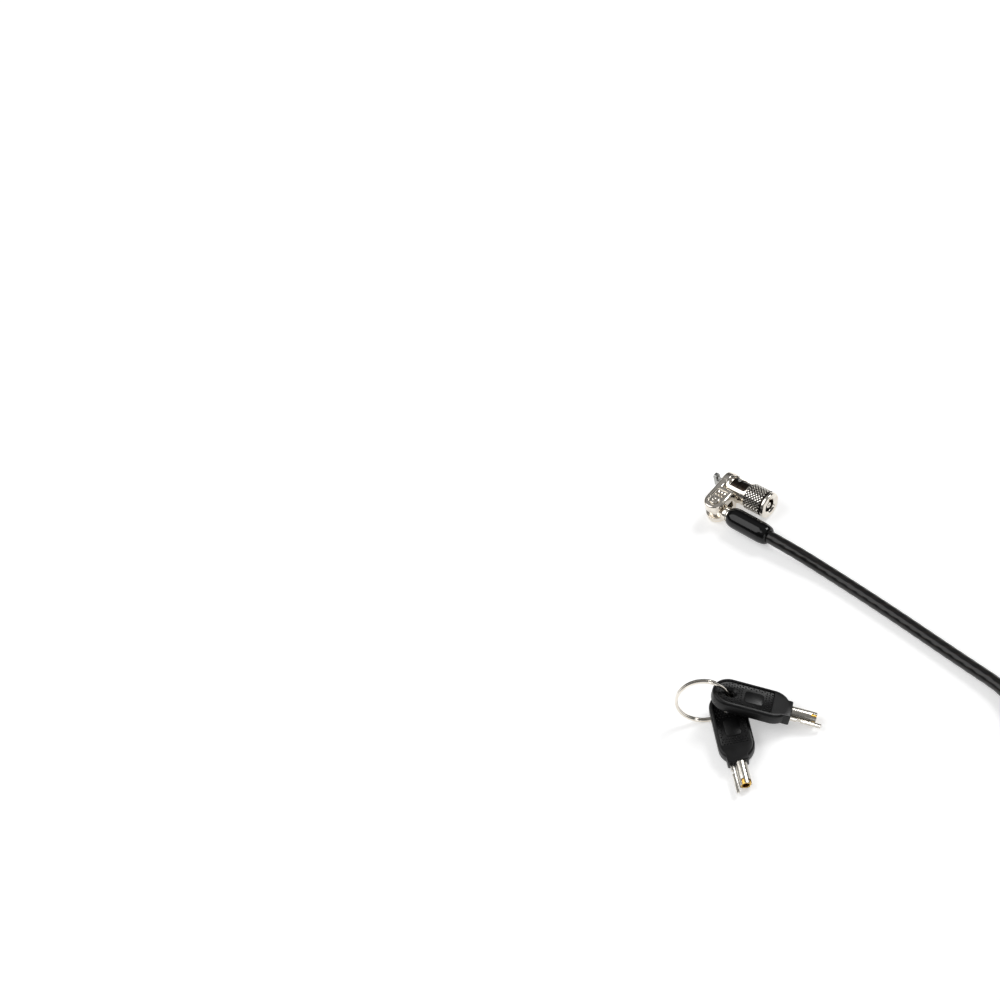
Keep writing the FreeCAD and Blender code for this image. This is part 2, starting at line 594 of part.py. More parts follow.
def cable():
    route = [
        tuple(along_cable_axis(CABLE_START)),
        tuple(along_cable_axis(CABLE_START + 19.0)),
        (62.0, -13.8, FLOOR_LINE),
        (94.0, -17.0, FLOOR_LINE),
        (131.0, -21.7, FLOOR_LINE),
        (158.0, -25.3, FLOOR_LINE + 1.2),
        coil_tangent(0, TOP_TURN),
    ]
    tube, length, radii = tube_along(route, CABLE_RADIUS)
    area = math.pi * CABLE_RADIUS ** 2
    print("cable: length %.1f, volume %.1f of %.1f" % (length, tube.Volume, area * length))
    print("cable: radii", [round(r) for r in radii])
    return tube.cut(coil_room())


def cable_coil():
    """The outer shape of the wound part of the cable."""
    round_off = CABLE_RADIUS * 0.8
    coil = upright(COIL_OUTER, COIL_BOTTOM, COIL_TOP, *COIL_CENTRE)
    coil = coil.cut(upright(COIL_INNER, COIL_BOTTOM - 1, COIL_TOP + 1, *COIL_CENTRE))
    rims = [edge for edge in coil.Edges if edge.Closed and edge.BoundBox.ZLength < 1e-6]
    return coil.makeChamfer(round_off / 2, rims)


def coil_tie():
    """A hook-and-loop strap round the section of the coil."""
    inner, outer = COIL_INNER - SEAT, COIL_OUTER + SEAT
    low, high = COIL_BOTTOM - SEAT, COIL_TOP + SEAT
    half = TIE_WIDTH / 2
    strap = box(
        (inner - TIE_THICKNESS, -half, TABLE_Z + SEAT), (outer + TIE_THICKNESS, half, high + TIE_THICKNESS)
    )
    strap = strap.cut(box((inner, -half - 1, low), (outer, half + 1, high)))
    strap.rotate(Vector(0, 0, 0), Z_AXIS, TIE_ANGLE)
    strap.translate(Vector(COIL_CENTRE[0], COIL_CENTRE[1], 0))
    return strap.cut(cable_coil())


# ---- end loop ----------------------------------------------------------------
LOOP_SLEEVE_START = 30.0                         # from the coil's touching point
LOOP_HEIGHT = TABLE_Z + CABLE_RADIUS + LOOP_CRIMP_WALL + LOOP_SLEEVE_WALL + 2 * SEAT
LOOP_HEADING = Placement(Vector(*coil_tangent(0, 0)), Rotation(Z_AXIS, TANGENT_ANGLE))


def on_loop_axis(shape):
    shape.Placement = LOOP_HEADING.multiply(shape.Placement)
    return shape


def duplex(start, end, wall):
    """A sleeve of stadium section round two cables that lie side by side, along X."""
    half = CABLE_RADIUS + wall
    block = stadium(CABLE_DIAMETER, 2 * half, 0, end - start)
    block.rotate(Vector(0, 0, 0), Z_AXIS, 90)
    block.rotate(Vector(0, 0, 0), Vector(0, 1, 0), 90)
    block.translate(Vector(start, -CABLE_DIAMETER, LOOP_HEIGHT))
    return block


def cable_tail():
    """The cable from the coil into the sleeve of the end loop."""
    inside = LOOP_SLEEVE_START + LOOP_SLEEVE_LENGTH / 2
    points = [
        coil_tangent(0, COIL_BOTTOM + CABLE_RADIUS),
        tuple(LOOP_HEADING.multVec(Vector(13.0, 0.6, LOOP_HEIGHT - 0.3))),
        tuple(LOOP_HEADING.multVec(Vector(LOOP_SLEEVE_START - 4.0, 0.0, LOOP_HEIGHT))),
        tuple(LOOP_HEADING.multVec(Vector(inside, 0.0, LOOP_HEIGHT + 0.01))),
    ]
    tube, length, radii = tube_along(points, CABLE_RADIUS)
    print("cable tail: length %.1f, radii" % length, [round(r) for r in radii])
    return tube.cut(coil_room())


def cable_eye():
    """The fixed eye at the far end of the cable, from the sleeve round and back into it."""
    start = LOOP_SLEEVE_START + LOOP_SLEEVE_LENGTH / 2
    mouth = LOOP_SLEEVE_START + LOOP_SLEEVE_LENGTH
    back = LOOP_SLEEVE_START + 2.0
    flare = mouth + 10.0
    centre_x = mouth + EYE_NECK
    centre_y = -CABLE_RADIUS
    step = 50.0
    reach = EYE_RADIUS / math.cos(math.radians(step / 2))
    points = [(start, 0.0), (flare, 0.0)]
    for number in range(5):
        angle = math.radians((2 - number) * step)
        points.append((centre_x + reach * math.cos(angle), centre_y + reach * math.sin(angle)))
    points += [(flare, -CABLE_DIAMETER), (back, -CABLE_DIAMETER)]
    tube, length, radii = tube_along([(x, y, LOOP_HEIGHT) for x, y in points], CABLE_RADIUS)
    print("cable eye: length %.1f, radii" % length, [round(r, 1) for r in radii])
    return on_loop_axis(tube)


def loop_crimp():
    start = LOOP_SLEEVE_START + (LOOP_SLEEVE_LENGTH - LOOP_CRIMP_LENGTH) / 2
    end = start + LOOP_CRIMP_LENGTH
    crimp = duplex(start, end, LOOP_CRIMP_WALL).cut(duplex(start - 1, end + 1, SEAT))
    return on_loop_axis(crimp)


def loop_sleeve():
    start, end = LOOP_SLEEVE_START, LOOP_SLEEVE_START + LOOP_SLEEVE_LENGTH
    crimp_start = start + (LOOP_SLEEVE_LENGTH - LOOP_CRIMP_LENGTH) / 2
    sleeve = duplex(start, end, LOOP_CRIMP_WALL + LOOP_SLEEVE_WALL + SEAT)
    sleeve = sleeve.cut(duplex(start - 1, end + 1, SEAT))
    room = duplex(crimp_start, crimp_start + LOOP_CRIMP_LENGTH, LOOP_CRIMP_WALL + SEAT)
    return on_loop_axis(sleeve.cut(room))


# ---- ring and keys -----------------------------------------------------------
RING_BEARING = 40.9          # plan direction from the ring's centre to the key holes
RING_LEAN = 78.0             # of the ring's plane from the table
RING_MIDDLE = RING_RADIUS - RING_WIRE_RADIAL / 2
RING_HEIGHT = (
    TABLE_Z + RING_RADIUS * math.sin(math.radians(RING_LEAN))
    + RING_WIRE_AXIAL * math.cos(math.radians(RING_LEAN)) + 0.05
)
RING_CENTRE = Vector(62.25, -95.8, RING_HEIGHT)
KEYS = {
    "key_1": {"hole_height": 6.3, "heading": 25.5, "roll": -12.0},
    "key_2": {"hole_height": -0.7, "heading": -41.5, "roll": -4.0},
}


def ring_placement():
    """Local X points at the key holes, local Y up the leaning plane of the ring."""
    lean = Rotation(Vector(1, 0, 0), RING_LEAN)
    bearing = Rotation(Z_AXIS, RING_BEARING)
    return Placement(RING_CENTRE, bearing.multiply(lean))


def ring_arc(start, end, low, high):
    section = Part.Face(Part.makePolygon([
        Vector(RING_RADIUS - RING_WIRE_RADIAL, 0, low), Vector(RING_RADIUS, 0, low),
        Vector(RING_RADIUS, 0, high), Vector(RING_RADIUS - RING_WIRE_RADIAL, 0, high),
        Vector(RING_RADIUS - RING_WIRE_RADIAL, 0, low),
    ]))
    section.rotate(Vector(0, 0, 0), Z_AXIS, start)
    return section.revolve(Vector(0, 0, 0), Z_AXIS, end - start)


def split_ring():
    """Two turns of flat wire side by side, and a single stretch where the keys hang."""
    wire = RING_WIRE_AXIAL
    gap = RING_TURN_GAP / 2
    front = ring_arc(RING_SINGLE, 360 - RING_SINGLE + RING_JOG, gap, wire)
    rear = ring_arc(RING_SINGLE - RING_JOG, 360 - RING_SINGLE, -wire, -gap)
    single = ring_arc(-RING_SINGLE, RING_SINGLE, -wire / 2, wire / 2)
    ring = single.fuse(front).fuse(rear).removeSplitter()
    ring.Placement = ring_placement()
    return ring


def key_hole_point(name):
    """The place where the ring's wire passes the middle of the key's hole."""
    height = KEYS[name]["hole_height"] - RING_CENTRE.z
    up_the_ring = height / math.sin(math.radians(RING_LEAN))
    across = math.sqrt(RING_MIDDLE ** 2 - up_the_ring ** 2)
    return ring_placement().multVec(Vector(across, up_the_ring, 0))


def key_dip(hole_height):
    """The slope, in degrees, at which the key's tube rests on the table."""
    reach = math.hypot(KEY_TUBE_END, KEY_TUBE_RADIUS)
    drop = hole_height - TABLE_Z - SEAT
    return math.degrees(math.asin(drop / reach) - math.atan2(KEY_TUBE_RADIUS, KEY_TUBE_END))


def key_placement(name):
    key = KEYS[name]
    turn = Rotation(Z_AXIS, key["heading"]).multiply(Rotation(Vector(0, 1, 0), key_dip(key["hole_height"])))
    return Placement(key_hole_point(name), turn.multiply(Rotation(X_AXIS, key["roll"])))


def key_bar_y():
    return -(KEY_TUBE_RADIUS + KEY_BAR_GAP + KEY_BAR_SIDE / 2)


def key_hole():
    """The flared hole for the ring, as the solid to cut."""
    web = KEY_HEAD_THICKNESS / 2 - KEY_PANEL_DEPTH
    flare = KEY_HOLE_RADIUS + KEY_HOLE_FLARE
    hole = turned([
        (-web - 0.01, 0), (-web - 0.01, flare), (-web + KEY_HOLE_FLARE, KEY_HOLE_RADIUS),
        (web - KEY_HOLE_FLARE, KEY_HOLE_RADIUS), (web + 0.01, flare), (web + 0.01, 0),
    ])
    hole.rotate(Vector(0, 0, 0), Vector(0, 1, 0), -90)
    return hole


def key_neck():
    """The block at the end of the head that holds tube and bar."""
    half = KEY_HEAD_THICKNESS / 2
    low = key_bar_y() - KEY_BAR_SIDE / 2 - KEY_NECK_BAR_WALL
    neck = box((KEY_NECK_START, low, -half), (KEY_NECK_END, KEY_TUBE_RADIUS + KEY_NECK_WALL, half))
    return neck.makeFillet(KEY_NECK_FILLET, [e for e in neck.Edges if e.BoundBox.XLength > 1])


def key_head():
    """The moulded head, with a sunk panel on each face, a flared ring hole and a neck."""
    half = KEY_HEAD_THICKNESS / 2
    length = KEY_HEAD_LENGTH - KEY_HEAD_WIDTH
    head = stadium(length, KEY_HEAD_WIDTH, -half, half)
    head = head.makeFillet(KEY_HEAD_FILLET, [e for e in head.Edges if e.BoundBox.ZLength < 1e-6])
    panel_width = KEY_HEAD_WIDTH - 2 * KEY_PANEL_MARGIN
    for low, high in ((half - KEY_PANEL_DEPTH, half + 1), (-half - 1, -half + KEY_PANEL_DEPTH)):
        panel = stadium(length - 2.0, panel_width, low, high)
        head = head.cut(panel.common(box((-20, -20, low), (length + KEY_PANEL_END, 20, high))))
    head = head.cut(key_hole()).fuse(key_neck())
    room = rod(KEY_TUBE_RADIUS + SEAT, KEY_TUBE_START - SEAT, KEY_JOINT + 5)
    skin = half - KEY_NECK_SKIN
    head = head.cut(room.common(box((0, -10, -skin), (60, 10, skin))))
    return head.cut(key_bar_shape(SEAT)).removeSplitter()


def key_tube():
    """The steel tube with the cuts of the key's code at its tip, flattened inside the neck."""
    tube = rod(KEY_TUBE_RADIUS, KEY_TUBE_START, KEY_TUBE_END)
    skin = KEY_HEAD_THICKNESS / 2 - KEY_NECK_SKIN - SEAT
    flats = box((KEY_TUBE_START - 1, -10, -skin), (KEY_NECK_END, 10, skin))
    tube = tube.cut(rod(KEY_TUBE_RADIUS + 1, KEY_TUBE_START - 1, KEY_NECK_END).cut(flats))
    tube = tube.cut(rod(KEY_TUBE_RADIUS - KEY_TUBE_WALL, KEY_TUBE_START - 1, KEY_TUBE_END + 1))
    side = KEY_NOTCH_WIDTH / 2
    for number, depth in enumerate(KEY_NOTCHES):
        notch = box((KEY_TUBE_END - depth, -side, 0), (KEY_TUBE_END + 1, side, 5))
        notch.rotate(Vector(0, 0, 0), X_AXIS, KEY_NOTCH_ANGLE + 360.0 * number / len(KEY_NOTCHES))
        tube = tube.cut(notch)
    return tube


def key_liner():
    """The brass liner of the key's tube, which shows in the notches."""
    start = KEY_JOINT - KEY_LINER_ROOT
    outer = KEY_TUBE_RADIUS - KEY_TUBE_WALL - SEAT
    liner = rod(outer, start, KEY_TUBE_END - 0.05)
    return liner.cut(rod(outer - KEY_LINER_WALL, start + 1.0, KEY_TUBE_END + 1))


def key_bar_shape(room=0.0):
    half = KEY_BAR_SIDE / 2 + room
    start = KEY_JOINT - KEY_BAR_ROOT - room
    return box((start, key_bar_y() - half, -half), (KEY_BAR_END, key_bar_y() + half, half))


def key_bar():
    """The square steel bar beside the tube, notched near the head."""
    outer = key_bar_y() - KEY_BAR_SIDE / 2
    start = KEY_JOINT + KEY_BAR_NOTCH_PLACE
    notch = box((start, outer - 1, -5), (start + KEY_BAR_NOTCH, outer + KEY_BAR_NOTCH_DEPTH, 5))
    bar = key_bar_shape()
    tip = [e for e in bar.Edges if e.BoundBox.XMin > KEY_BAR_END - 0.01]
    return bar.makeChamfer(KEY_BAR_TIP, tip).cut(notch)


# ---- build -------------------------------------------------------------------


def main():
    os.makedirs("parts", exist_ok=True)
    for make in (
        lug_casting, slot_prongs, clevis_pin, barrel_sleeve, knurled_grip, lock_cylinder, driver_block,
        retaining_pin, driver_pins, tumbler_springs, plug_rotor, key_pins, tbar_spindle, spindle_clip,
        pivot_knuckle, swivel_stud, swivel_washer, crimp_tube, cable_ferrule, cable, cable_coil, coil_tie,
        cable_tail, cable_eye, loop_crimp, loop_sleeve, split_ring,
    ):
        save(make.__name__, make())
    for name in KEYS:
        hole = key_hole_point(name)
        print(name, "hole at %.3f %.3f %.3f" % tuple(hole))
        for piece, make in (("head", key_head), ("tube", key_tube), ("liner", key_liner), ("bar", key_bar)):
            shape = make()
            shape.Placement = key_placement(name).multiply(shape.Placement)
            save(name + "_" + piece, shape)


main()
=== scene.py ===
"""Looks of the laptop cable lock: nickel-plated lock head, sheathed steel cable and two keys on a ring.

Metres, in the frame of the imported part: X runs along the barrel to the keyway, Z is up. Lengths that
are named in millimetres are turned to metres where a mesh is made.
"""
import json
import math
from functools import partial

import bmesh
import bpy
from mathutils import Matrix, Vector


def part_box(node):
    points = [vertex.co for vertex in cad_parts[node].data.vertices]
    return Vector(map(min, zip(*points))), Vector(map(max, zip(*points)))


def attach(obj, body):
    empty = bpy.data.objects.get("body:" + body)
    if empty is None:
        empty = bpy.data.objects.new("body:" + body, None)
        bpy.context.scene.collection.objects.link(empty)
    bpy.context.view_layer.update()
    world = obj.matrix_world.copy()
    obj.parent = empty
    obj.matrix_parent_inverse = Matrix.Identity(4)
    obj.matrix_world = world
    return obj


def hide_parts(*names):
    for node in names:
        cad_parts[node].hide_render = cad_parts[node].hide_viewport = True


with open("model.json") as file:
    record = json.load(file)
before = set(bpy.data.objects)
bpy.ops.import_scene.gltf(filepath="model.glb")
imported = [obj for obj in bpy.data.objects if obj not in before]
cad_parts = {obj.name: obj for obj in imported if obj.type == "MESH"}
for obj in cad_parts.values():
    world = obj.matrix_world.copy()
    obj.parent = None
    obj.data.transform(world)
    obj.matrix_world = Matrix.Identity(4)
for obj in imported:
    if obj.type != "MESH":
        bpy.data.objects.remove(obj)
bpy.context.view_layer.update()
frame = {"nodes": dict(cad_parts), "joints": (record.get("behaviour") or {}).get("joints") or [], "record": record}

MM = 0.001
BODY_OF = {node: body for body, nodes in frame["record"]["behaviour"]["bodies"].items() for node in nodes}
JOINTS = {joint["name"]: joint for joint in frame["joints"]}
SMOOTH_ANGLE = math.radians(32)

# ---- sizes in millimetres, the same as in the CAD part ------------------------
SEAT = 0.02                                  # gap where one piece seats in another
COLLAR_RADIUS, COLLAR_LENGTH, COLLAR_WALL = 5.6, 3.0, 2.6
SPIGOT_LENGTH, SPIGOT_WALL, SPINDLE_BORE = 1.5, 1.38, 1.34
SLEEVE_RADIUS, SLEEVE_WALL = 5.3, 0.7
GRIP_RADIUS, GRIP_LENGTH, BARREL_LENGTH = 5.75, 10.6, 23.8
GRIP_START = BARREL_LENGTH - GRIP_LENGTH
GRIP_FRONT_WALL, LIP_START = 2.0, 22.3
KNURL_DEPTH, KNURL_AROUND = 0.3, 24
KNURL_BASE, KNURL_TIP = 0.98, 0.42           # half diagonals of a diamond, in pitches
MARK_RADIUS, MARK_DEPTH, MARK_ORBIT = 0.7, 0.9, 4.0
WINDOW_START, WINDOW_LENGTH, WINDOW_CORNER = 4.0, 8.6, 1.1
WINDOW_ANGLES = (62.0, 148.0)                # degrees up from -Y
CYLINDER_START, CYLINDER_WALL, PLUG_LENGTH = 4.6, 1.25, 5.3
PIN_X, PIN_ANGLE, PIN_RADIUS = 7.0, 110.0, 0.75      # of the pin seen in the window
KEYWAY_RADIUS, POST_RADIUS, POST_RECESS = 2.8, 1.35, 0.8
LUG_WIDTH, LUG_TOP, LUG_SLOT_TOP, LUG_SLOT_BOTTOM, LUG_BOTTOM = 9.0, 5.4, 1.5, -2.1, -5.2
LUG_INNER_Y, LUG_EDGE, LUG_SLOT_EDGE = -5.0, 0.8, 0.15
HINGE_RADIUS = 1.4
RIB_COUNT, RIB_WIDTH, RIB_PITCH, RIB_INSET, RIB_START, RIB_END = 3, 0.8, 1.5, 0.9, 2.9, 5.2
PRONG_INNER_Y, PRONG_OUTER_Y, PRONG_HALF, PRONG_DEPTH = 1.65, 3.25, 1.27, 1.82
KNUCKLE_RADIUS, KNUCKLE_ARM_WIDTH = 3.4, 4.8
BOSS_START, BOSS_END, BOSS_RADIUS = 4.95, 6.95, 3.2
FERRULE_START, FERRULE_LENGTH, FERRULE_RADIUS = 7.45, 20.9, 4.5
PANEL_MARGIN, PANEL_DEPTH, PANEL_LENGTH = 1.7, 0.5, 5.9
CABLE_DIAMETER = 5.5
WEAVE_RIB = 0.8                              # of the strap
TABLE_Z = -GRIP_RADIUS
COIL_MEAN_RADIUS, COIL_COLUMNS, COIL_TURNS_PER_LAYER = 30.0, 4, 4
KEY_HEAD_LENGTH, KEY_HEAD_WIDTH, KEY_HEAD_THICKNESS = 31.2, 14.4, 5.0
KEY_TUBE_RADIUS, KEY_TUBE_LENGTH = 2.5, 10.5
KEY_TURNS = {"key_1": (25.5, -12.0), "key_2": (-41.5, -4.0)}     # heading, and roll about the tube, in degrees

PIVOT = Vector(JOINTS["cable_pivot"]["pos_m"])
SWIVEL_AXIS = Vector(JOINTS["cable_swivel"]["axis"])
CABLE_ANGLE = math.atan2(SWIVEL_AXIS.y, SWIVEL_AXIS.x)
UPRIGHT = Matrix.Rotation(-math.pi / 2, 4, "Y")      # stands a piece along X up along Z
ON_CABLE = Matrix.Translation(PIVOT) @ Matrix.Rotation(CABLE_ANGLE, 4, "Z")


# ---- node helper and colours ---------------------------------------------------


def colour(code, alpha=1.0):
    """An sRGB hex colour as a linear one."""
    values = [int(code[i:i + 2], 16) / 255 for i in (1, 3, 5)]
    linear = [v / 12.92 if v <= 0.04045 else ((v + 0.055) / 1.055) ** 2.4 for v in values]
    return (*linear, alpha)


def add(tree, kind, settings=None):
    """Adds a node; settings are properties by name, or inputs by name or number, each a value or a socket."""
    node = tree.nodes.new(kind)
    inputs = {}
    for name, value in (settings or {}).items():
        if isinstance(name, str) and name not in node.inputs and hasattr(node, name):
            setattr(node, name, value)
        else:
            inputs[name] = value
    for name, value in inputs.items():
        if isinstance(value, bpy.types.NodeSocket):
            tree.links.new(value, node.inputs[name])
        else:
            node.inputs[name].default_value = value
    return node


def maths(tree, operation, *values, **settings):
    """The output of a math node; each value is a number or a socket."""
    return add(tree, "ShaderNodeMath", {"operation": operation, **settings, **dict(enumerate(values))}).outputs[0]


def ramp(tree, source, stops):
    """A colour ramp of (position, colour) stops."""
    node = add(tree, "ShaderNodeValToRGB", {"Fac": source})
    elements = node.color_ramp.elements
    while len(elements) < len(stops):
        elements.new(0.5)
    for element, (position, shade_at) in zip(elements, stops):
        element.position = position
        element.color = shade_at
    return node.outputs["Color"]


def grey(level):
    return (level, level, level, 1.0)


def new_material(name, **shader):
    """A material with one Principled shader; returns the material, its tree and the shader."""
    material = bpy.data.materials.new(name)
    material.use_nodes = True
    tree = material.node_tree
    tree.nodes.clear()
    principled = add(tree, "ShaderNodeBsdfPrincipled", {key.replace("_", " "): v for key, v in shader.items()})
    add(tree, "ShaderNodeOutputMaterial", {"Surface": principled.outputs[0]})
    return material, tree, principled


def noise_over(tree, vector, scale, detail):
    return add(tree, "ShaderNodeTexNoise", {"Scale": scale, "Detail": detail, "Vector": vector}).outputs["Fac"]


def object_noise(tree, size_mm, detail=3.0, stretch=(1, 1, 1)):
    """Noise whose grains are about size_mm across, in Object coordinates."""
    place = add(tree, "ShaderNodeTexCoord").outputs["Object"]
    mapping = add(tree, "ShaderNodeMapping", {"Scale": stretch, "Vector": place}).outputs[0]
    return noise_over(tree, mapping, 1.0 / (size_mm * MM), detail)


def attribute(tree, name, output="Vector"):
    return add(tree, "ShaderNodeAttribute", {"attribute_name": name}).outputs[output]


def bump(tree, principled, height, depth_mm, strength=1.0):
    node = add(tree, "ShaderNodeBump", {"Strength": strength, "Distance": depth_mm * MM, "Height": height})
    tree.links.new(node.outputs[0], principled.inputs["Normal"])


# ---- materials -----------------------------------------------------------------


def shade(tree, principled, source, colours=(), roughness=()):
    """Sets the colour, the roughness or both by ramps over the source."""
    for name, stops in (("Base Color", [(at, colour(code)) for at, code in colours]),
                        ("Roughness", [(at, grey(level)) for at, level in roughness])):
        if stops:
            tree.links.new(ramp(tree, source, stops), principled.inputs[name])


def finish(name, pattern, colours, roughness, depth_mm, strength=1.0, relief=None, **shader):
    """A material whose colour and roughness follow one noise; its bump follows that one or the relief's."""
    material, tree, principled = new_material(name, **shader)
    source = object_noise(tree, *pattern)
    shade(tree, principled, source, colours, roughness)
    bump(tree, principled, object_noise(tree, *relief) if relief else source, depth_mm, strength)
    return material


def nickel_plated_turning():
    """Turned brass or steel under bright nickel: a mirror with very fine turning rings round X."""
    material, tree, shader = new_material("bright nickel plate on turned metal", Metallic=1.0)
    rings = object_noise(tree, 0.9, 2.0, (3.5, 0.15, 0.15))
    shade(tree, shader, object_noise(tree, 4.0), [(0.3, "#DDD6CB"), (0.7, "#EFEAE1")])
    shade(tree, shader, rings, roughness=[(0.35, 0.10), (0.65, 0.19)])
    bump(tree, shader, rings, 0.012)
    return material


def nickel_knurl():
    """The knurled band: nickel over rolled diamonds, dull in the grooves and glossy on the points; its colour is
    painted shade, dark in the grooves, and painted highlight, near white on the points.
    """
    material, tree, shader = new_material("nickel plate on rolled knurling", Metallic=1.0)
    place = add(tree, "ShaderNodeTexCoord").outputs["Object"]
    part = add(tree, "ShaderNodeSeparateXYZ", {"Vector": place}).outputs
    square_y = maths(tree, "MULTIPLY", part["Y"], part["Y"])
    radius = maths(tree, "SQRT", maths(tree, "MULTIPLY_ADD", part["Z"], part["Z"], square_y))
    height = add(tree, "ShaderNodeMapRange", {
        "From Min": (GRIP_RADIUS - KNURL_DEPTH) * MM, "From Max": GRIP_RADIUS * MM, "Value": radius}).outputs[0]
    # Colour by height over the diamonds: painted shade in the grooves, painted highlight on the points.
    shade(tree, shader, height, [(0.1, "#2A2622"), (0.5, "#A39B8F"), (0.85, "#FDFAF4")], [(0.0, 0.38), (0.7, 0.08)])
    bump(tree, shader, object_noise(tree, 0.3), 0.006)
    return material


def drawn_key_steel():
    """Drawn stainless tube and bar of the keys: streaky mirror along the draw."""
    material, tree, shader = new_material("drawn stainless steel", Metallic=1.0)
    streaks = noise_over(tree, attribute(tree, "across"), 9.0, 4.0)
    shade(tree, shader, streaks, [(0.3, "#A9A49B"), (0.7, "#E3DFD7")], [(0.3, 0.30), (0.7, 0.14)])
    bump(tree, shader, streaks, 0.02)
    return material


def cable_sheath():
    """Smoke-black clear vinyl drawn over stranded steel: deep gloss, with the strands brown under it."""
    material, tree, shader = new_material(
        "smoke vinyl sheath over steel strands", Coat_Weight=0.35, Coat_Roughness=0.05, Roughness=0.34,
        Specular_IOR_Level=0.22)
    wires = noise_over(tree, attribute(tree, "wires"), 1.0, 2.0)
    ply = maths(tree, "MULTIPLY", attribute(tree, "strand", "Fac"), wires)
    shade(tree, shader, ply, [(0.1, "#050505"), (0.4, "#0D0A08"), (0.7, "#2C221A")])
    bump(tree, shader, object_noise(tree, 2.5), 0.02)
    return material


def abs_dots_painted_highlight():
    """The points of the stipple: glossier ABS, painted lighter grey as a highlight."""
    material, tree, shader = new_material("ABS dots with painted highlight", Roughness=0.22)
    shade(tree, shader, object_noise(tree, 3.0), [(0.3, "#2E2E31"), (0.7, "#4A4A4E")])
    return material


def woven_strap():
    """Hook-and-loop strap: black nylon loops, matt and fuzzy over a plain weave of ribs."""
    material, tree, shader = new_material("woven hook-and-loop nylon", Roughness=0.9, Sheen_Weight=0.5,
                                          Sheen_Roughness=0.5)
    part = add(tree, "ShaderNodeSeparateXYZ", {"Vector": attribute(tree, "weave")}).outputs
    waves = [maths(tree, "SINE", maths(tree, "MULTIPLY", part[axis], 2 * math.pi / WEAVE_RIB)) for axis in "XY"]
    level = add(tree, "ShaderNodeMapRange", {
        "From Min": -1.0, "From Max": 1.0, "Value": maths(tree, "MULTIPLY", *waves)}).outputs[0]
    height = maths(tree, "MULTIPLY_ADD", object_noise(tree, 0.35, 5.0), 0.5, level)
    # Colour follows the weave's height: painted shade darkens the hollows between the ribs.
    shade(tree, shader, height, [(0.3, "#0B0B0C"), (1.0, "#26262A")])
    bump(tree, shader, height, 0.18)
    return material


# Die-cast zinc under bright nickel plate: warm mirror, with the faint orange peel of the casting.
CASTING = finish(
    "bright nickel plate on die-cast zinc", (5.0, 4.0), [(0.3, "#DFD7CB"), (0.7, "#EFE9DF")],
    [(0.3, 0.10), (0.75, 0.20)], 0.012, relief=(1.6, 2.0), Metallic=1.0)
TURNING = nickel_plated_turning()
KNURL = nickel_knurl()
# Hardened steel with a ground finish: grey, with fine scratches along the piece.
STEEL = finish(
    "ground hardened steel", (0.5, 4.0, (0.12, 2.0, 2.0)), [(0.3, "#8F8F8D"), (0.7, "#C2C1BD")],
    [(0.3, 0.22), (0.7, 0.38)], 0.02, Metallic=1.0)
KEY_STEEL = drawn_key_steel()
# Chemically blackened lock cylinder: near-black metal with a low oily gloss and brown tints.
BLACKENED = finish(
    "blackened steel", (1.4,), [(0.3, "#2A211A"), (0.7, "#3B3530")], [(0.3, 0.24), (0.7, 0.36)], 0.01,
    relief=(0.25,), Metallic=1.0)
# Bare turned brass: yellow, with faint tarnish in broad patches.
BRASS = finish(
    "turned brass", (2.2, 4.0), [(0.3, "#B98C3A"), (0.7, "#E6C069")], [(0.3, 0.30), (0.7, 0.18)], 0.01,
    relief=(0.3,), Metallic=1.0)
SHEATH = cable_sheath()
# Injection-moulded black nylon over the cable end: piano gloss with a trace of flow marks.
NYLON = finish(
    "glossy moulded nylon", (6.0, 2.0, (0.3, 1, 1)), [(0.3, "#050506"), (0.7, "#0A0A0B")],
    [(0.3, 0.07), (0.7, 0.13)], 0.006, relief=(1.2,), Roughness=0.12, Specular_IOR_Level=0.32)
# Moulded black ABS of the key heads: satin, with the fine spark-eroded grain of the tool. The real grain is
# about 0.05 mm; it is drawn at 0.22 mm so that it shows.
ABS = finish(
    "satin moulded ABS", (7.0,), [(0.3, "#060607"), (0.7, "#0B0B0C")], [(0.3, 0.30), (0.7, 0.42)], 0.008,
    strength=0.6, relief=(0.22, 2.0), Specular_IOR_Level=0.32)
# Stipple dots: their lighter grey is painted highlight, their lower roughness real gloss.
ABS_DOT_HIGHLIGHT = abs_dots_painted_highlight()
STRAP = woven_strap()
# Aluminium crimps: pale, satin, with press marks.
ALUMINIUM = finish(
    "pressed aluminium", (1.5, 4.0), [(0.3, "#B9BBBC"), (0.7, "#D9DADA")], [(0.3, 0.34), (0.7, 0.24)], 0.03,
    Metallic=1.0)


# ---- mesh helpers, in millimetres ----------------------------------------------


def object_of(name, mesh):
    piece = bpy.data.objects.new(name, mesh)
    bpy.context.scene.collection.objects.link(piece)
    return piece


def mesh_object(name, shape):
    """An object from a bmesh in millimetres."""
    bmesh.ops.recalc_face_normals(shape, faces=shape.faces)
    mesh = bpy.data.meshes.new(name)
    shape.to_mesh(mesh)
    shape.free()
    return object_of(name, mesh)


def filleted(points, steps=5):
    """An outline from (a, b) or (a, b, fillet) corners, each fillet as a smooth curve."""
    outline = []
    count = len(points)
    for i, point in enumerate(points):
        corner = Vector(point[:2])
        fillet = point[2] if len(point) > 2 else 0
        if not fillet:
            outline.append(tuple(corner))
            continue
        before, after = Vector(points[i - 1][:2]), Vector(points[(i + 1) % count][:2])
        reach_in = min(fillet, 0.49 * (before - corner).length)
        reach_out = min(fillet, 0.49 * (after - corner).length)
        start = corner + (before - corner).normalized() * reach_in
        end = corner + (after - corner).normalized() * reach_out
        for step in range(steps + 1):
            t = step / steps
            outline.append(tuple(start * (1 - t) ** 2 + corner * 2 * t * (1 - t) + end * t ** 2))
    return outline


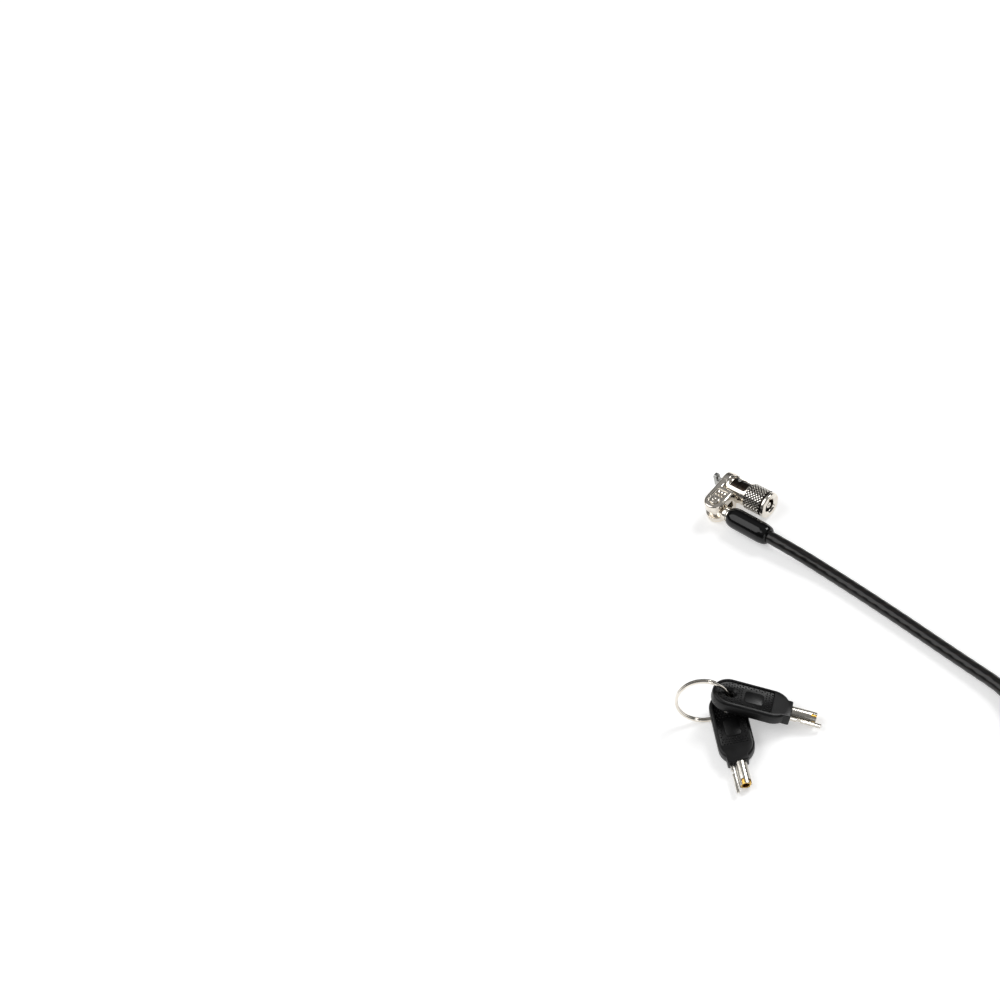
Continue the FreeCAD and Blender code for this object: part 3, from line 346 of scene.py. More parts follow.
def turned(name, outline, segments=96):
    """A closed solid turned round X from a closed outline of (x, radius) points."""
    shape = bmesh.new()
    rings = []
    for x, radius in outline:
        if radius < 1e-4:
            rings.append([shape.verts.new((x, 0, 0))] * segments)
            continue
        angles = (2 * math.pi * i / segments for i in range(segments))
        rings.append([shape.verts.new((x, radius * math.cos(a), radius * math.sin(a))) for a in angles])
    for ring, following in zip(rings, rings[1:] + rings[:1]):
        for i in range(segments):
            j = (i + 1) % segments
            corners = list(dict.fromkeys([ring[i], ring[j], following[j], following[i]]))
            if len(corners) > 2:
                shape.faces.new(corners)
    return mesh_object(name, shape)


def prism(name, outline, low, high, bevel_low=0.0, bevel_high=0.0, steps=3):
    """An upright prism over a closed (x, y) outline, with rounded lower and upper edges."""
    shape = bmesh.new()
    base = shape.faces.new([shape.verts.new((x, y, low)) for x, y in outline])
    lifted = bmesh.ops.extrude_face_region(shape, geom=[base])["geom"]
    for vertex in (g for g in lifted if isinstance(g, bmesh.types.BMVert)):
        vertex.co.z = high
    for level, width in ((low, bevel_low), (high, bevel_high)):
        rim = [e for e in shape.edges if all(abs(v.co.z - level) < 1e-5 for v in e.verts)]
        if width:
            bmesh.ops.bevel(shape, geom=rim, offset=width, segments=steps, profile=0.5, affect="EDGES",
                            clamp_overlap=True)
    return mesh_object(name, shape)


def block(name, low, high, bevel=0.0, steps=3):
    """A box with every edge rounded."""
    shape = bmesh.new()
    bmesh.ops.create_cube(shape, size=1.0)
    for vertex in shape.verts:
        vertex.co = [low[i] + (vertex.co[i] + 0.5) * (high[i] - low[i]) for i in range(3)]
    if bevel:
        bmesh.ops.bevel(shape, geom=list(shape.edges), offset=bevel, segments=steps, profile=0.5, affect="EDGES")
    return mesh_object(name, shape)


def baked(piece):
    """Gives the piece the mesh that its modifiers make, and removes them."""
    graph = bpy.context.evaluated_depsgraph_get()
    mesh = bpy.data.meshes.new_from_object(piece.evaluated_get(graph))
    piece.modifiers.clear()
    piece.data = mesh
    return piece


def combine(piece, other, operation="DIFFERENCE"):
    """Cuts the other object out of the piece, or joins it on, and removes it."""
    modifier = piece.modifiers.new("combine", "BOOLEAN")
    modifier.operation = operation
    modifier.solver = "EXACT"
    modifier.object = other
    baked(piece)
    bpy.data.objects.remove(other)
    return piece


def merged(piece, *others):
    """One mesh from several, as separate shells."""
    shape = bmesh.new()
    shape.from_mesh(piece.data)
    for other in others:
        shape.from_mesh(other.data)
        bpy.data.objects.remove(other)
    shape.to_mesh(piece.data)
    shape.free()
    return piece


def moved(piece, matrix):
    piece.data.transform(matrix)
    return piece


def arc(centre, radius, first, turn, steps):
    """Points on an arc about (x, y), from the first angle through a turn, in degrees."""
    angles = [math.radians(first + turn * step / steps) for step in range(steps + 1)]
    return [(centre[0] + radius * math.cos(angle), centre[1] + radius * math.sin(angle)) for angle in angles]


def rod(name, low, high, radius, segments=96):
    """A cylinder along X."""
    return turned(name, [(low, 0), (low, radius), (high, radius), (high, 0)], segments)


def bridged(name, shape, rings):
    """An object with faces from each ring of points to the next, and over both ends."""
    for ring, following in zip(rings, rings[1:]):
        for i in range(len(ring)):
            j = (i + 1) % len(ring)
            shape.faces.new([ring[i], ring[j], following[j], following[i]])
    shape.faces.new(rings[0][::-1])
    shape.faces.new(rings[-1])
    return mesh_object(name, shape)


def stadium_outline(length, half, steps=16):
    """A stadium along X whose round ends are centred at 0 and at length."""
    return arc((length, 0.0), half, -90, 180, steps) + arc((0.0, 0.0), half, 90, 180, steps)


def set_materials(mesh, *materials):
    mesh.materials.clear()
    for material in materials:
        mesh.materials.append(material)


def store_vectors(piece, name, values):
    piece.data.attributes.new(name, "FLOAT_VECTOR", "POINT").data.foreach_set("vector", values)


def stand_in(piece, material, *nodes, place=None, scale=MM):
    """Finishes a piece: to metres and into place, smooth, with its material and body, and its CAD nodes hidden."""
    piece.data.transform(Matrix.Scale(scale, 4))
    if place is not None:
        piece.data.transform(place)
    piece.data.shade_smooth()
    piece.data.set_sharp_from_angle(angle=SMOOTH_ANGLE)
    if material:
        set_materials(piece.data, material)
    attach(piece, BODY_OF[nodes[0]])
    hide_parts(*nodes)
    return piece


def softened(node, width_mm=0.12, angle=35):
    """A copy of a CAD node's mesh with its flat faces whole and its edges rounded."""
    shape = bmesh.new()
    shape.from_mesh(frame["nodes"][node].data)
    bmesh.ops.remove_doubles(shape, verts=shape.verts, dist=1e-6)
    bmesh.ops.dissolve_limit(shape, angle_limit=math.radians(1), verts=shape.verts, edges=shape.edges)
    sharp = [e for e in shape.edges if len(e.link_faces) == 2 and e.calc_face_angle(0) > math.radians(angle)]
    bmesh.ops.bevel(shape, geom=sharp, offset=width_mm * MM, segments=2, profile=0.5, affect="EDGES",
                    clamp_overlap=True)
    mesh = bpy.data.meshes.new(node + " rounded")
    shape.to_mesh(mesh)
    shape.free()
    return object_of(node + "_rounded", mesh)


def dress(node, material):
    """Gives a CAD node that stays its material."""
    set_materials(frame["nodes"][node].data, material)


# ---- camera, floor and light ---------------------------------------------------


def make_camera():
    data = bpy.data.cameras.new("camera")
    data.lens = 77.72
    data.sensor_width = 36.0
    data.clip_start = 0.01
    camera = bpy.data.objects.new("camera", data)
    camera.location = (0.4237, -0.4181, 0.7078)
    camera.rotation_euler = [math.radians(a) for a in (39.731, 11.593, 40.841)]
    bpy.context.scene.collection.objects.link(camera)
    bpy.context.scene.camera = camera


def make_floor():
    """A white sheet under the lock; the part that the camera sees is lifted to full white."""
    shape = bmesh.new()
    half = 6.0
    shape.faces.new([shape.verts.new((x, y, TABLE_Z * MM)) for x, y in
                     ((-half, -half), (half, -half), (half, half), (-half, half))])
    mesh = bpy.data.meshes.new("floor")
    shape.to_mesh(mesh)
    shape.free()
    floor = object_of("floor", mesh)
    material = bpy.data.materials.new("white studio paper")
    material.use_nodes = True
    tree = material.node_tree
    tree.nodes.clear()
    paper = add(tree, "ShaderNodeBsdfDiffuse", {"Color": grey(0.86)}).outputs[0]
    glow = add(tree, "ShaderNodeEmission", {"Color": grey(1.0), "Strength": 0.42}).outputs[0]
    lit = add(tree, "ShaderNodeAddShader", {0: paper, 1: glow}).outputs[0]
    path = add(tree, "ShaderNodeLightPath").outputs
    seen = path["Is Camera Ray"]
    for ray in ("Is Glossy Ray", "Is Transmission Ray"):
        seen = maths(tree, "ADD", seen, path[ray], use_clamp=True)
    mix = add(tree, "ShaderNodeMixShader", {0: seen, 1: paper, 2: lit})
    add(tree, "ShaderNodeOutputMaterial", {"Surface": mix.outputs[0]})
    mesh.materials.append(material)


def make_lamp(name, direction, distance, size, level, size_y=None):
    """A soft box that gives a level of light, 1 being enough to render a colour as written."""
    data = bpy.data.lights.new(name, "AREA")
    data.shape = "RECTANGLE"
    data.size = size
    data.size_y = size_y or size
    data.energy = level * math.pi ** 2 * distance ** 2
    lamp = bpy.data.objects.new(name, data)
    toward = Vector(direction).normalized()
    aim = Vector((0.06, -0.04, 0.0))
    lamp.location = aim + toward * distance
    lamp.rotation_euler = toward.to_track_quat("Z", "Y").to_euler()
    bpy.context.scene.collection.objects.link(lamp)


def make_light():
    make_lamp("overhead soft box", (-0.54, -0.38, 0.75), 1.3, 0.9, 0.42, size_y=1.1)
    make_lamp("window soft box", (0.15, 0.78, 0.85), 1.5, 0.55, 0.42)
    make_lamp("front card", (0.9, -0.5, 0.35), 1.6, 0.8, 0.10)
    world = bpy.data.worlds.new("studio")
    world.use_nodes = True
    tree = world.node_tree
    tree.nodes.clear()
    place = add(tree, "ShaderNodeTexCoord").outputs["Generated"]
    part = add(tree, "ShaderNodeSeparateXYZ", {"Vector": place}).outputs
    room = ramp(tree, part["Z"], [(0.0, grey(0.42)), (0.18, grey(0.10)), (0.45, grey(0.07)), (0.8, grey(0.30))])
    sky = add(tree, "ShaderNodeBackground", {"Strength": 1.0, "Color": room})
    plain = add(tree, "ShaderNodeBackground", {"Color": grey(1.0), "Strength": 1.0})
    path = add(tree, "ShaderNodeLightPath")
    mix = add(tree, "ShaderNodeMixShader", {0: path.outputs["Is Camera Ray"], 1: sky.outputs[0], 2: plain.outputs[0]})
    add(tree, "ShaderNodeOutputWorld", {"Surface": mix.outputs[0]})
    bpy.context.scene.world = world
    bpy.context.scene.view_settings.view_transform = "Standard"


# ---- cable ---------------------------------------------------------------------

CABLE_RADIUS = CABLE_DIAMETER / 2
FLOOR_LINE = TABLE_Z + CABLE_RADIUS + 0.02
TANGENT = math.radians(-45.0)                # heading of the cable where it meets the coil
COIL_CENTRE = (208.5, -21.3)
COIL_TURNS_RADIUS = COIL_MEAN_RADIUS + (COIL_COLUMNS - 1) * CABLE_RADIUS
TIE_THICKNESS, TIE_WIDTH, TIE_ANGLE = 0.8, 12.0, 115.0
LOWER_TURN = TABLE_Z + TIE_THICKNESS + CABLE_RADIUS
UPPER_TURN = LOWER_TURN + CABLE_DIAMETER
LOOP_SLEEVE_START, LOOP_SLEEVE_LENGTH = 30.0, 24.0
LOOP_HEIGHT = TABLE_Z + CABLE_RADIUS + 1.04
EYE_RADIUS, EYE_NECK = 17.0, 31.0
STRAND_COUNT = 6
STRAND_LAY = 33.0                            # length in which a strand goes once round the cable
WIRE_GRAIN = 1.4


def coil_tangent(distance, height, aside=0.0):
    """A point on the line that touches the coil, so far past the touching point and to its left."""
    x = COIL_CENTRE[0] + COIL_TURNS_RADIUS * math.sin(TANGENT)
    y = COIL_CENTRE[1] - COIL_TURNS_RADIUS * math.cos(TANGENT)
    x += distance * math.cos(TANGENT) - aside * math.sin(TANGENT)
    y += distance * math.sin(TANGENT) + aside * math.cos(TANGENT)
    return (x, y, height)


def step_up(share):
    """Rises smoothly from 0 to 1 over the last quarter of a turn."""
    t = min(1.0, max(0.0, (share - 0.75) / 0.25))
    return t * t * (3 - 2 * t)


def coil_points():
    """Control points of the wound cable: inwards on the upper layer, then outwards on the lower one."""
    points = []
    per_turn = 24
    widen = 1 / math.cos(math.pi / per_turn)
    turns = 2 * COIL_TURNS_PER_LAYER
    for number in range(1, turns * per_turn):
        turn, share = divmod(number / per_turn, 1.0)
        level = min(turn + step_up(share), turns - 1)
        steps_in = min(level, COIL_COLUMNS - 1) - max(level - COIL_COLUMNS, 0)
        down = min(max(level - (COIL_TURNS_PER_LAYER - 1), 0), 1)
        radius = (COIL_TURNS_RADIUS - CABLE_DIAMETER * steps_in) * widen
        angle = TANGENT - math.pi / 2 + 2 * math.pi * number / per_turn
        height = UPPER_TURN + (LOWER_TURN - UPPER_TURN) * down
        x = COIL_CENTRE[0] + radius * math.cos(angle)
        y = COIL_CENTRE[1] + radius * math.sin(angle)
        points.append((x, y, height))
    return points


def eye_points():
    """Control points of the formed eye, out of the sleeve, round and back into it."""
    mouth = LOOP_SLEEVE_START + LOOP_SLEEVE_LENGTH
    points = [(LOOP_SLEEVE_START + LOOP_SLEEVE_LENGTH / 2, 0.0), (mouth - 2.0, 0.0), (mouth + 10.0, 0.0)]
    step = 50.0
    reach = EYE_RADIUS / math.cos(math.radians(step / 2))
    for number in range(5):
        angle = math.radians((2 - number) * step)
        points.append((mouth + EYE_NECK + reach * math.cos(angle), reach * math.sin(angle) - CABLE_RADIUS))
    points += [(mouth + 10.0, -CABLE_DIAMETER), (mouth - 2.0, -CABLE_DIAMETER)]
    points += [(LOOP_SLEEVE_START + 8.0, -CABLE_DIAMETER), (LOOP_SLEEVE_START + 2.0, -CABLE_DIAMETER)]
    return [coil_tangent(along, LOOP_HEIGHT, aside) for along, aside in points]


def cable_route():
    """The listed points from the ferrule to the coil, then the coil, the tail and the eye."""
    start = [tuple((ON_CABLE @ Vector((along * MM, 0, 0))) / MM) for along in (19.05, 38.05)]
    lying = [
        (62.0, -13.8, FLOOR_LINE),
        (94.0, -17.0, FLOOR_LINE),
        (131.0, -21.7, FLOOR_LINE),
        (158.0, -25.3, FLOOR_LINE + 1.2),
        coil_tangent(-12.0, UPPER_TURN - 0.9),
        coil_tangent(0, UPPER_TURN),
    ]
    tail = [coil_tangent(0, LOWER_TURN), coil_tangent(13.0, LOOP_HEIGHT - 0.3, 0.6)]
    return start + lying + coil_points() + tail + [coil_tangent(26.0, LOOP_HEIGHT)] + eye_points()


def centreline(points, spacing_mm):
    """Evenly spaced points, in metres, read from the smooth spline through the route."""
    curve = bpy.data.curves.new("route", "CURVE")
    curve.dimensions = "3D"
    curve.resolution_u = 12
    spline = curve.splines.new("NURBS")
    spline.points.add(len(points) - 1)
    for knot, point in zip(spline.points, points):
        knot.co = (*[c * MM for c in point], 1.0)
    spline.order_u = 3
    spline.use_endpoint_u = True
    holder = object_of("route", curve)
    graph = bpy.context.evaluated_depsgraph_get()
    mesh = bpy.data.meshes.new_from_object(holder.evaluated_get(graph))
    dense = [v.co.copy() for v in mesh.vertices]
    bpy.data.objects.remove(holder)
    bpy.data.meshes.remove(mesh)
    travelled = [0.0]
    for a, b in zip(dense, dense[1:]):
        travelled.append(travelled[-1] + (b - a).length)
    total = travelled[-1]
    count = round(total / (spacing_mm * MM))
    line = []
    k = 0
    for number in range(count + 1):
        target = total * number / count
        while k < len(dense) - 2 and travelled[k + 1] < target:
            k += 1
        span = max(travelled[k + 1] - travelled[k], 1e-9)
        line.append(dense[k].lerp(dense[k + 1], min(1.0, (target - travelled[k]) / span)))
    return line, total


def swept(name, line, section_at):
    """A tube along a line; section_at(distance) gives the ring of (across, up) offsets in metres."""
    shape = bmesh.new()
    tangents = [(line[min(i + 1, len(line) - 1)] - line[max(i - 1, 0)]).normalized() for i in range(len(line))]
    side = tangents[0].cross(Vector((0, 0, 1))).normalized()
    rings = []
    distance = 0.0
    for i, (point, tangent) in enumerate(zip(line, tangents)):
        if i:
            side = tangents[i - 1].rotation_difference(tangent) @ side
            distance += (point - line[i - 1]).length
        side = (side - tangent * side.dot(tangent)).normalized()
        up = side.cross(tangent)
        rings.append([shape.verts.new(point + side * a + up * b) for a, b in section_at(distance)])
    return bridged(name, shape, rings)


def make_cable():
    """The sheathed cable: a round tube that swells a little over each of the strands twisted inside it."""
    line, length = centreline(cable_route(), spacing_mm=1.5)
    around = 36
    swell = 0.11 * MM

    def section(distance):
        ring = []
        for i in range(around):
            angle = 2 * math.pi * i / around
            lobe = math.cos(STRAND_COUNT * (angle - 2 * math.pi * distance / (STRAND_LAY * MM)))
            radius = CABLE_RADIUS * MM - swell * (1 - lobe) / 2
            ring.append((radius * math.cos(angle), radius * math.sin(angle)))
        return ring

    cable = swept("sheathed_steel_cable", line, section)
    strand, wires = [], []
    step = length / (len(line) - 1)
    for vertex in range(len(cable.data.vertices)):
        number, i = divmod(vertex, around)
        angle = 2 * math.pi * i / around - 2 * math.pi * number * step / (STRAND_LAY * MM)
        strand.append(0.5 + 0.5 * math.cos(STRAND_COUNT * angle))
        wires += [number * step / (WIRE_GRAIN * MM), 9 * math.cos(angle), 9 * math.sin(angle)]
    cable.data.attributes.new("strand", "FLOAT", "POINT").data.foreach_set("value", strand)
    store_vectors(cable, "wires", wires)
    stand_in(cable, SHEATH, "cable", "cable_coil", "cable_tail", "cable_eye", scale=1.0)
    return cable, line, length


def make_tie():
    """The strap round the section of the coil, its end lapped over on top."""
    inner = COIL_MEAN_RADIUS - COIL_COLUMNS * CABLE_RADIUS
    outer = COIL_MEAN_RADIUS + COIL_COLUMNS * CABLE_RADIUS
    low, high = TABLE_Z + TIE_THICKNESS, TABLE_Z + TIE_THICKNESS + 2 * CABLE_DIAMETER
    corner = 2.4
    path = filleted([(inner, low, corner), (outer, low, corner), (outer, high, corner), (inner, high, corner)], 8)
    shape = bmesh.new()
    half = TIE_WIDTH / 2
    count = len(path)
    across = [-half + TIE_WIDTH * i / 8 for i in range(9)]
    middle = Vector(((inner + outer) / 2, (low + high) / 2))
    rings = []
    for side in (0.04, TIE_THICKNESS - 0.04):
        for i, point in enumerate(path):
            ahead, behind = Vector(path[(i + 1) % count]), Vector(path[i - 1])
            along = (ahead - behind).normalized()
            outward = Vector((along.y, -along.x))
            if outward.dot(Vector(point) - middle) < 0:
                outward = -outward
            spot = Vector(point) + outward * side
            rings.append([shape.verts.new((spot.x, y, spot.y)) for y in across])
    inside, outside = rings[:count], rings[count:]
    for i in range(count):
        j = (i + 1) % count
        for k in range(len(across) - 1):
            shape.faces.new([inside[i][k], inside[i][k + 1], inside[j][k + 1], inside[j][k]])
            shape.faces.new([outside[i][k], outside[j][k], outside[j][k + 1], outside[i][k + 1]])
        for k in (0, len(across) - 1):
            shape.faces.new([inside[i][k], inside[j][k], outside[j][k], outside[i][k]])
    tie = mesh_object("coil_strap", shape)
    flap = block("flap", (inner + 3.0, -half + 0.1, high + TIE_THICKNESS - 0.1),
                 (outer - 4.0, half - 0.1, high + TIE_THICKNESS), 0.04)
    merged(tie, flap)
    store_vectors(tie, "weave", [c for v in tie.data.vertices for c in (v.co.x + v.co.z, v.co.y, 0.0)])
    place = Matrix.Translation((COIL_CENTRE[0] * MM, COIL_CENTRE[1] * MM, 0))
    return stand_in(tie, STRAP, "coil_tie", place=place @ Matrix.Rotation(math.radians(TIE_ANGLE), 4, "Z"))


def on_loop():
    """The frame of the end loop: X along the cable's tail, at the height of its axis."""
    origin = Vector(coil_tangent(0, LOOP_HEIGHT)) * MM
    return Matrix.Translation(origin) @ Matrix.Rotation(TANGENT, 4, "Z")


def make_loop_sleeve():
    """The shrunk black sleeve over the crimp, pinched between the two cables and rounded at its mouths."""
    tight, full = CABLE_RADIUS + 0.12, CABLE_RADIUS + 1.0
    stations = [(0.0, 0.72), (0.25, 0.86), (0.8, 0.95), (1.8, 1.0)]      # distance from a mouth, and swell
    stations += [(LOOP_SLEEVE_LENGTH - x, s) for x, s in reversed(stations)]
    shape = bmesh.new()
    rings = []
    for x, swell in stations:
        radius = tight + (full - tight) * swell
        ring = []
        for a, b in stadium_outline(CABLE_DIAMETER, 1.0, 10):
            centre = min(max(a, 0.0), CABLE_DIAMETER)
            y = centre + (a - centre) * radius
            ring.append(shape.verts.new((LOOP_SLEEVE_START + x, y - CABLE_DIAMETER, b * radius)))
        rings.append(ring)
    return stand_in(bridged("loop_sleeve_shrunk", shape, rings), NYLON, "loop_sleeve", place=on_loop())


def make_cords():
    cable, line, length = make_cable()
    tie = make_tie()
    sleeve = make_loop_sleeve()


# ---- lock head -----------------------------------------------------------------


def lug_outline(pivot):
    """The ear seen from above: round at the pivot, and as deep as the collar where it reaches the axis."""
    corner = [(LUG_WIDTH, pivot.y), (LUG_WIDTH, LUG_INNER_Y), (COLLAR_LENGTH, LUG_INNER_Y), (COLLAR_LENGTH, 0.0)]
    return [(0.0, 0.0), (0.0, pivot.y)] + arc(pivot, LUG_WIDTH / 2, 180, 180, 24)[1:-1] + corner


def panel_outline(pivot):
    """The sunk panel of the upper ear: a rounded square that follows the ear's round end."""
    half = LUG_WIDTH / 2 - PANEL_MARGIN
    far = pivot.y + PANEL_LENGTH
    return arc(pivot, half, 180, 180, 12) + filleted([
        (pivot.x + half, pivot.y), (pivot.x + half, far, 0.5), (pivot.x - half, far, 0.5), (pivot.x - half, pivot.y),
    ])[1:-1]


def make_lug():
    """The casting that carries the cable: slot collar, two ears and the web between them."""
    pivot = PIVOT / MM
    outline = lug_outline(pivot)
    lug = prism("lug_cast", outline, LUG_SLOT_TOP, LUG_TOP, LUG_SLOT_EDGE, LUG_EDGE)
    combine(lug, prism("lower ear", outline, LUG_BOTTOM, LUG_SLOT_BOTTOM, LUG_EDGE, LUG_SLOT_EDGE), "UNION")
    web = block("web", (0.02, -6.9, LUG_SLOT_BOTTOM - 1), (LUG_WIDTH - 0.02, -0.5, LUG_SLOT_TOP + 1))
    combine(lug, web, "UNION")
    combine(lug, rod("room", COLLAR_LENGTH, 11, SLEEVE_RADIUS + SEAT))
    bore = SLEEVE_RADIUS - SLEEVE_WALL - SEAT
    spigot_bore = bore - SPIGOT_WALL
    spigot_end = COLLAR_LENGTH + SPIGOT_LENGTH
    collar = turned("collar", filleted([
        (0.0, SPINDLE_BORE), (0.0, COLLAR_RADIUS, 0.6), (COLLAR_LENGTH, COLLAR_RADIUS, 0.25), (COLLAR_LENGTH, bore),
        (spigot_end, bore), (spigot_end, spigot_bore), (COLLAR_WALL, spigot_bore), (COLLAR_WALL, SPINDLE_BORE),
    ]), 128)
    combine(lug, collar, "UNION")
    combine(lug, turned("inside", [
        (-1, 0), (-1, SPINDLE_BORE), (COLLAR_WALL, SPINDLE_BORE), (COLLAR_WALL, spigot_bore), (6, spigot_bore), (6, 0),
    ]))
    floor = LUG_TOP - PANEL_DEPTH
    combine(lug, prism("panel", panel_outline(pivot), floor, LUG_TOP + 1, bevel_low=0.12))
    hinge_bore = moved(rod("hinge bore", LUG_BOTTOM - 1, LUG_TOP + 1, HINGE_RADIUS + SEAT, 48), UPRIGHT)
    combine(lug, moved(hinge_bore, Matrix.Translation((pivot.x, pivot.y, 0))))
    for number in range(RIB_COUNT):
        x = pivot.x - LUG_WIDTH / 2 + PANEL_MARGIN + RIB_INSET + number * RIB_PITCH
        low = (x, pivot.y + RIB_START, floor - 0.1)
        combine(lug, block("rib", low, (x + RIB_WIDTH, pivot.y + RIB_END, LUG_TOP - 0.02), 0.16, 2), "UNION")
    for side in (-1, 1):
        low, high = sorted((side * PRONG_INNER_Y, side * PRONG_OUTER_Y))
        combine(lug, block("prong slot", (-1, low - SEAT, -PRONG_HALF), (PRONG_DEPTH, high + SEAT, PRONG_HALF)))
    return stand_in(lug, CASTING, "lug_casting")


def make_clevis_pin():
    """The rivet of the hinge, with a domed head that stands in the lug's panel."""
    floor = LUG_TOP - PANEL_DEPTH
    foot = LUG_BOTTOM + 0.1
    pin = turned("hinge_rivet", filleted([
        (foot, 0), (foot, HINGE_RADIUS, 0.2), (floor, HINGE_RADIUS), (floor, 2.1, 0.1), (LUG_TOP + 0.05, 1.95, 0.4),
        (LUG_TOP + 0.1, 0.9, 0.1), (LUG_TOP - 0.12, 0.6, 0.1), (LUG_TOP - 0.12, 0),
    ]), 64)
    return stand_in(pin, TURNING, "clevis_pin", place=Matrix.Translation((PIVOT.x, PIVOT.y, 0)) @ UPRIGHT)


def window_cutter():
    """A wedge with rounded corners that opens the sleeve over the retaining pin."""
    start, end = WINDOW_START, WINDOW_START + WINDOW_LENGTH
    first, last = [math.radians(angle) * SLEEVE_RADIUS for angle in WINDOW_ANGLES]
    corners = [(start, first), (end, first), (end, last), (start, last)]
    outline = filleted([(x, arc_at, WINDOW_CORNER) for x, arc_at in corners], 6)
    turns = [(x, arc_at / SLEEVE_RADIUS) for x, arc_at in outline]
    shape = bmesh.new()
    rings = [[shape.verts.new((x, -radius * math.cos(a), radius * math.sin(a))) for x, a in turns]
             for radius in (2.5, SLEEVE_RADIUS + 2)]
    return bridged("window", shape, rings)


def make_sleeve():
    """The thin plated sleeve with its window over the retaining pin."""
    bore = SLEEVE_RADIUS - SLEEVE_WALL
    sleeve = turned("barrel_sleeve_shell", filleted([
        (COLLAR_LENGTH + 0.02, bore), (COLLAR_LENGTH + 0.02, SLEEVE_RADIUS, 0.18), (GRIP_START, SLEEVE_RADIUS, 0.1),
        (GRIP_START, bore),
    ]), 144)
    combine(sleeve, window_cutter())
    soften = sleeve.modifiers.new("soft rim", "BEVEL")
    soften.width = 0.16
    soften.segments = 3
    soften.limit_method = "ANGLE"
    soften.angle_limit = math.radians(50)
    baked(sleeve)
    return stand_in(sleeve, TURNING, "barrel_sleeve")


def geometry_tree(name, values):
    """An empty geometry nodes tree with number inputs; returns it, its sockets' keys and its input sockets."""
    tree = bpy.data.node_groups.new(name, "GeometryNodeTree")
    tree.interface.new_socket("Geometry", in_out="OUTPUT", socket_type="NodeSocketGeometry")
    sockets = {}
    for label, value in values.items():
        kind = "NodeSocketInt" if isinstance(value, int) else "NodeSocketFloat"
        socket = tree.interface.new_socket(label, in_out="INPUT", socket_type=kind)
        socket.default_value = value
        sockets[label] = socket.identifier
    return tree, sockets, add(tree, "NodeGroupInput").outputs


def scatter(tree, points, shape, material, **settings):
    """Ends a tree with a copy of the shape on each point, in a material."""
    copies = add(tree, "GeometryNodeInstanceOnPoints", {
        "Points": points.outputs[0], "Instance": shape.outputs[0], **settings})
    whole = add(tree, "GeometryNodeRealizeInstances", {"Geometry": copies.outputs[0]})
    painted = add(tree, "GeometryNodeSetMaterial", {"Material": material, "Geometry": whole.outputs[0]})
    add(tree, "NodeGroupOutput", {"Geometry": painted.outputs[0]})


def knurl_tree(values):
    """Geometry nodes: rows of four-sided points wrapped round a barrel, each row half a pitch on."""
    tree, sockets, given = geometry_tree("rolled knurl", values)
    calc = partial(maths, tree)
    points = add(tree, "GeometryNodePoints", {"Count": calc("MULTIPLY", given["Around"], given["Rows"])})
    index = add(tree, "GeometryNodeInputIndex").outputs[0]
    row = calc("FLOOR", calc("DIVIDE", index, given["Around"]))
    place = calc("MULTIPLY_ADD", calc("MODULO", row, 2.0), 0.5, index)
    angle = calc("MULTIPLY", calc("DIVIDE", place, given["Around"]), 2 * math.pi)
    outward = add(tree, "ShaderNodeCombineXYZ", {"Y": calc("COSINE", angle), "Z": calc("SINE", angle)}).outputs[0]
    along = add(tree, "ShaderNodeCombineXYZ", {"X": calc("MULTIPLY_ADD", row, given["Pitch"], given["Start"])})
    reach = add(tree, "ShaderNodeVectorMath", {"operation": "SCALE", 0: outward, "Scale": given["Root Radius"]})
    spot = add(tree, "ShaderNodeVectorMath", {"operation": "ADD", 0: reach.outputs[0], 1: along.outputs[0]})
    placed = add(tree, "GeometryNodeSetPosition", {"Geometry": points.outputs[0], "Position": spot.outputs[0]})
    facing = add(tree, "FunctionNodeAxesToRotation", {
        "primary_axis": "Z", "secondary_axis": "X", "Primary Axis": outward, "Secondary Axis": (1.0, 0.0, 0.0)})
    point = add(tree, "GeometryNodeMeshCone", {
        "Vertices": 4, "Radius Bottom": calc("MULTIPLY", given["Pitch"], KNURL_BASE),
        "Radius Top": calc("MULTIPLY", given["Pitch"], KNURL_TIP), "Depth": given["Height"]})
    scatter(tree, placed, point, KNURL, Rotation=facing.outputs[0])
    return tree, sockets


def grown(name, tree, sockets, values):
    """The plain mesh that a geometry nodes tree makes with the given values."""
    holder = object_of(name, bpy.data.meshes.new(name))
    modifier = holder.modifiers.new("nodes", "NODES")
    modifier.node_group = tree
    for key, value in values.items():
        modifier[sockets[key]] = value
    return baked(holder)


